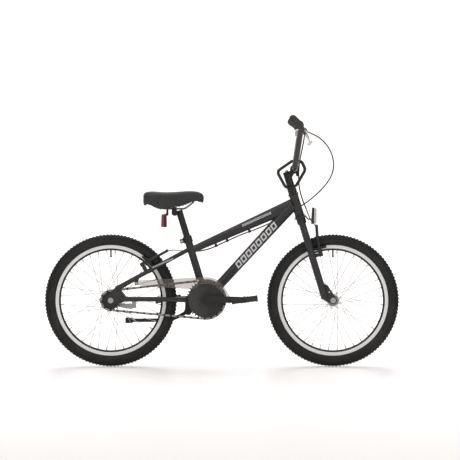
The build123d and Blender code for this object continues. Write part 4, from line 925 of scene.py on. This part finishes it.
def chain_points():
    """Roller centres round the two chain wheels, as side-view points."""
    joints = {row["name"]: row for row in frame["joints"]}
    rear, front = (Vector((joints[name]["pos_m"][0], joints[name]["pos_m"][2]))
                   for name in ("sprocket_spin", "crank_spin"))
    ring, cog = (CHAIN_PITCH / 2 / math.sin(math.pi / teeth) for teeth in (RING_TEETH, COG_TEETH))
    span = front - rear
    base = math.atan2(span.y, span.x)
    lean = math.asin((ring - cog) / span.length)
    straight = span.length * math.cos(lean)
    top, low = base + lean + math.pi / 2, base - lean - math.pi / 2
    ring_wrap, cog_wrap = ring * (top - low), cog * (FULL_TURN - (top - low))
    total = ring_wrap + cog_wrap + 2 * straight

    def round_wheel(centre, radius, angle):
        return centre + Vector((math.cos(angle), math.sin(angle))) * radius

    points = []
    for link in range(LINKS):
        length = (ring_wrap / 2 + link * total / LINKS) % total
        if length < ring_wrap:
            points.append(round_wheel(front, ring, top - length / ring))
            continue
        length -= ring_wrap
        if length < straight:
            points.append(round_wheel(front, ring, low).lerp(round_wheel(rear, cog, low), length / straight))
            continue
        length -= straight
        if length < cog_wrap:
            points.append(round_wheel(rear, cog, low - length / cog))
            continue
        length -= cog_wrap
        points.append(round_wheel(rear, cog, top).lerp(round_wheel(front, ring, top), length / straight))
    return points


def chain_link(name, plate_side, pin_half):
    """Two rounded plates, a roller and a pin, with the pin at the origin and the next pin a pitch along X."""
    made = []
    for side in (1, -1):
        deselect_all()
        bpy.ops.mesh.primitive_cube_add(size=1.0)
        plate = take_new(f"{name}_plate")
        plate.data.transform(Matrix.Translation((CHAIN_PITCH / 2, side * plate_side, 0))
                             @ Matrix.Diagonal((CHAIN_PITCH + 8 * MM, 1.0 * MM, 8 * MM, 1)))
        pick_in_edit(plate, "edges", lambda edge: abs(np.subtract(*edge_ends(plate, edge))[1]) > 0.5 * MM)
        bpy.ops.mesh.bevel(offset=3.8 * MM, segments=3, affect="EDGES")
        bpy.ops.object.mode_set(mode="OBJECT")
        made.append(plate)
    pin = turned(f"{name}_pin", [(-pin_half, 1.2 * MM), (-pin_half + 0.4 * MM, 1.8 * MM),
                                 (pin_half - 0.4 * MM, 1.8 * MM), (pin_half, 1.2 * MM)], 8)
    pin.data.transform(Matrix.Rotation(math.radians(90), 4, "X"))
    roller = turned(f"{name}_roller", [(-1.7 * MM, 3.85 * MM), (1.7 * MM, 3.85 * MM)], 10)
    roller.data.transform(Matrix.Rotation(math.radians(90), 4, "X"))
    return join_into([*made, pin, roller], name)


class BIKE_OT_chain(bpy.types.Operator):
    """Model one inner and one outer chain link and copy them round the two chain wheels"""
    bl_idname = "bike.chain"
    bl_label = "Chain"

    def execute(self, context):
        level = middle_of("chain").y
        kinds = [chain_link("outer_link", 3.4 * MM, 4.4 * MM), chain_link("inner_link", 2.3 * MM, 2.8 * MM)]
        points = chain_points()
        copies = ([], [])
        for index, (here, there) in enumerate(zip(points, points[1:] + points[:1])):
            run = there - here
            link = kinds[index % 2].copy()
            link.data = kinds[index % 2].data.copy()
            context.scene.collection.objects.link(link)
            turn = Matrix.Rotation(-math.atan2(run.y, run.x), 4, "Y")
            link.data.transform(Matrix.Translation((here.x, level, here.y)) @ turn)
            copies[index % 2].append(link)
        for kind in kinds:
            bpy.data.objects.remove(kind)
        outer, inner = join_into(copies[0], "outer_links"), join_into(copies[1], "inner_links")
        finish_piece(outer, "frame", FINISHES["chain_steel"], 30.0)
        finish_piece(inner, "frame", FINISHES["dark_chain"], 30.0)
        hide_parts("chain")
        return {"FINISHED"}


# ---- brake cables ----

CABLE_RADIUS = 2.5 * MM
REAR_LOOP = [
    (322, -128, 884), (350, -110, 874), (383, -86, 851), (407, -62, 820), (420, -39, 786), (423, -16, 752),
    (414, 4, 719), (392, 20, 685), (360, 31, 652), (324, 38, 622), (284, 39.5, 597), (265, 37.25, 586),
]


def cable_tube(name, route):
    """A tube along a smooth curve through the route's neighbourhood, and the points it follows."""
    line = bpy.data.curves.new(name, "CURVE")
    line.dimensions = "3D"
    line.resolution_u = 8
    spline = line.splines.new("NURBS")
    spline.points.add(len(route) - 1)
    for point, place in zip(spline.points, route):
        point.co = (*(value * MM for value in place), 1)
    spline.order_u = 3
    spline.use_endpoint_u = True
    holder = bpy.data.objects.new(name, line)
    bpy.context.scene.collection.objects.link(holder)
    bpy.context.view_layer.update()
    thread = bpy.data.meshes.new_from_object(holder)
    followed = [tuple(vertex.co) for vertex in thread.vertices]
    line.bevel_depth = CABLE_RADIUS
    line.bevel_resolution = 3
    line.use_fill_caps = True
    deselect_all()
    holder.select_set(True)
    bpy.context.view_layer.objects.active = holder
    bpy.ops.object.convert(target="MESH")
    return bpy.context.object, followed


class BIKE_OT_cables(bpy.types.Operator):
    """Model the brake cable's free loop in front of the head tube"""
    bl_idname = "bike.cables"
    bl_label = "Brake Cable Loop"

    def execute(self, context):
        tube, followed = cable_tube("rear_cable_loop_cover", REAR_LOOP)
        tube = finish_piece(tube, "fork", FINISHES["cable_black"], 60.0)
        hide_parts("rear_cable_loop")
        return {"FINISHED"}


# ---- finishes of the CAD nodes ----

class BIKE_OT_finishes(bpy.types.Operator):
    """Give every CAD node its finish"""
    bl_idname = "bike.finishes"
    bl_label = "Finishes"

    def execute(self, context):
        FINISHES.update(all_finishes())
        for which in WHEELS:
            FINISHES[f"{which}_rim"] = rim_finish(which)
            FINISHES[f"{which}_tyre"] = tyre_finish(which)
        FINISHES["crank_axle"] = FINISHES["pedal_axles"] = FINISHES["black_steel"]
        slots = {row["node"]: row["material_slot"] for row in frame["record"]["subparts"]}
        for name, node in NODES.items():
            finish = FINISHES.get(name) or FINISHES[slots[name]]
            for slot in node.material_slots:
                slot.material = finish
        return {"FINISHED"}


# ---- stage ----

FLOOR_WIDTH, FLOOR_DEPTH, WALL_HEIGHT, WALL_CURVE = 24, 26, 14, 4.0
BACK_EDGE_Y = FLOOR_DEPTH / 2 - 0.1
CAMERA_DISTANCE, SHOWN_WIDTH = 20.0, 1.739
CAMERA_X, CAMERA_HEIGHT = 0.0306, 0.5157
LAMP_TARGET = Vector((0, 0, 0.4))
# name, place, size and power of each lamp
LAMPS = (
    ("key", (-2.6, -4.2, 4.2), 3.2, 62.0), ("fill", (3.4, -4.4, 2.4), 3.0, 30.0),
    ("top", (0.0, 0.4, 4.6), 4.0, 60.0), ("back", (0.2, 4.0, 3.2), 4.0, 60.0),
)


class BIKE_OT_stage(bpy.types.Operator):
    """Make the pale floor with its curved backdrop, glowing more towards the back as painted light, the soft
    lights and the camera
    """
    bl_idname = "bike.stage"
    bl_label = "Stage"

    def execute(self, context):
        scene = context.scene
        floor = self.make_floor(scene.bike_colours.backdrop)
        floor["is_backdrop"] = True
        self.make_lights()
        self.make_camera(scene)
        scene.view_settings.view_transform = "Standard"
        return {"FINISHED"}

    def make_floor(self, colour):
        low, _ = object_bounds()
        deselect_all()
        bpy.ops.mesh.primitive_plane_add(size=1.0)
        floor = take_new("studio_floor")
        size = Matrix.Diagonal((FLOOR_WIDTH, FLOOR_DEPTH, 1, 1))
        floor.data.transform(Matrix.Translation((0, 0, low.z)) @ size)

        def at_back(edge):
            return all(end.y > BACK_EDGE_Y and end.z < 0.1 for end in edge_ends(floor, edge))

        pick_in_edit(floor, "edges", at_back)
        bpy.ops.mesh.extrude_region_move(TRANSFORM_OT_translate={"value": (0, 0, WALL_HEIGHT)})
        pick_in_edit(floor, "edges", at_back)
        bpy.ops.mesh.bevel(offset=WALL_CURVE, segments=24, affect="EDGES")
        bpy.ops.object.mode_set(mode="OBJECT")
        bpy.ops.object.shade_smooth()
        made, tree, shader, place = new_finish("backdrop_paper")
        paler = tuple(min(1.0, c * 1.03) for c in colour)
        tint = mixed(tree, noise(tree, place, 1.2), tuple(colour), paler)
        tree.links.new(tint, shader.inputs["Base Color"])
        shader.inputs["Roughness"].default_value = 0.35
        # Painted light: the floor and backdrop glow by themselves, only faintly near the bike and brightly towards
        # the back wall.
        _, depth, _ = axes_of(tree, place)
        painted_glow_towards_back = smooth_step(tree, depth, 0.5, 9.0)
        tree.links.new(mixed(tree, painted_glow_towards_back, (0.03, 0.025, 0.022, 1), (0.62, 0.6, 0.59, 1)),
                       shader.inputs["Emission Color"])
        shader.inputs["Emission Strength"].default_value = 1.0
        floor.data.materials.append(made)
        return floor

    def make_lights(self):
        world = bpy.data.worlds.new("studio_air")
        world.use_nodes = True
        air = world.node_tree.nodes["Background"]
        air.inputs["Color"].default_value = (1.0, 0.985, 0.975, 1)
        air.inputs["Strength"].default_value = 0.42
        bpy.context.scene.world = world
        for name, place, size, energy in LAMPS:
            lamp = bpy.data.lights.new(name, "AREA")
            lamp.size = size
            lamp.energy = energy
            holder = bpy.data.objects.new(name, lamp)
            bpy.context.scene.collection.objects.link(holder)
            holder.location = place
            holder.rotation_euler = (LAMP_TARGET - Vector(place)).to_track_quat("-Z", "Y").to_euler()

    def make_camera(self, scene):
        eye = bpy.data.cameras.new("camera")
        eye.sensor_width = 36.0
        eye.lens = eye.sensor_width * CAMERA_DISTANCE / SHOWN_WIDTH
        eye.clip_end = 100.0
        holder = bpy.data.objects.new("camera", eye)
        scene.collection.objects.link(holder)
        holder.location = (CAMERA_X, -CAMERA_DISTANCE, CAMERA_HEIGHT)
        holder.rotation_euler = (math.radians(90), 0, 0)
        scene.camera = holder


class BIKE_PT_panel(bpy.types.Panel):
    """Lists the bicycle's pieces, sizes and colours"""
    bl_idname = "BIKE_PT_panel"
    bl_label = "Bicycle"
    bl_space_type = "VIEW_3D"
    bl_region_type = "UI"
    bl_category = "Bicycle"

    def draw(self, context):
        for group in (context.scene.bike_sizes, context.scene.bike_colours):
            for name in group.bl_rna.properties.keys():
                if name not in ("rna_type", "name"):
                    self.layout.prop(group, name)
        for operator in OPERATORS:
            self.layout.operator(operator.bl_idname)


OPERATORS = (BIKE_OT_finishes, BIKE_OT_tread, BIKE_OT_nipples, BIKE_OT_grips, BIKE_OT_saddle,
             BIKE_OT_chain, BIKE_OT_cables, BIKE_OT_stage)
CLASSES = (BikeSizes, BikeColours, *OPERATORS, BIKE_PT_panel)


def register():
    for each in CLASSES:
        bpy.utils.register_class(each)
    bpy.types.Scene.bike_sizes = PointerProperty(type=BikeSizes)
    bpy.types.Scene.bike_colours = PointerProperty(type=BikeColours)


def unregister():
    del bpy.types.Scene.bike_sizes
    del bpy.types.Scene.bike_colours
    for each in reversed(CLASSES):
        bpy.utils.unregister_class(each)


def main():
    register()
    for operator in OPERATORS:
        group, name = operator.bl_idname.split(".")
        getattr(getattr(bpy.ops, group), name)()


if __name__ == "__main__":
    main()
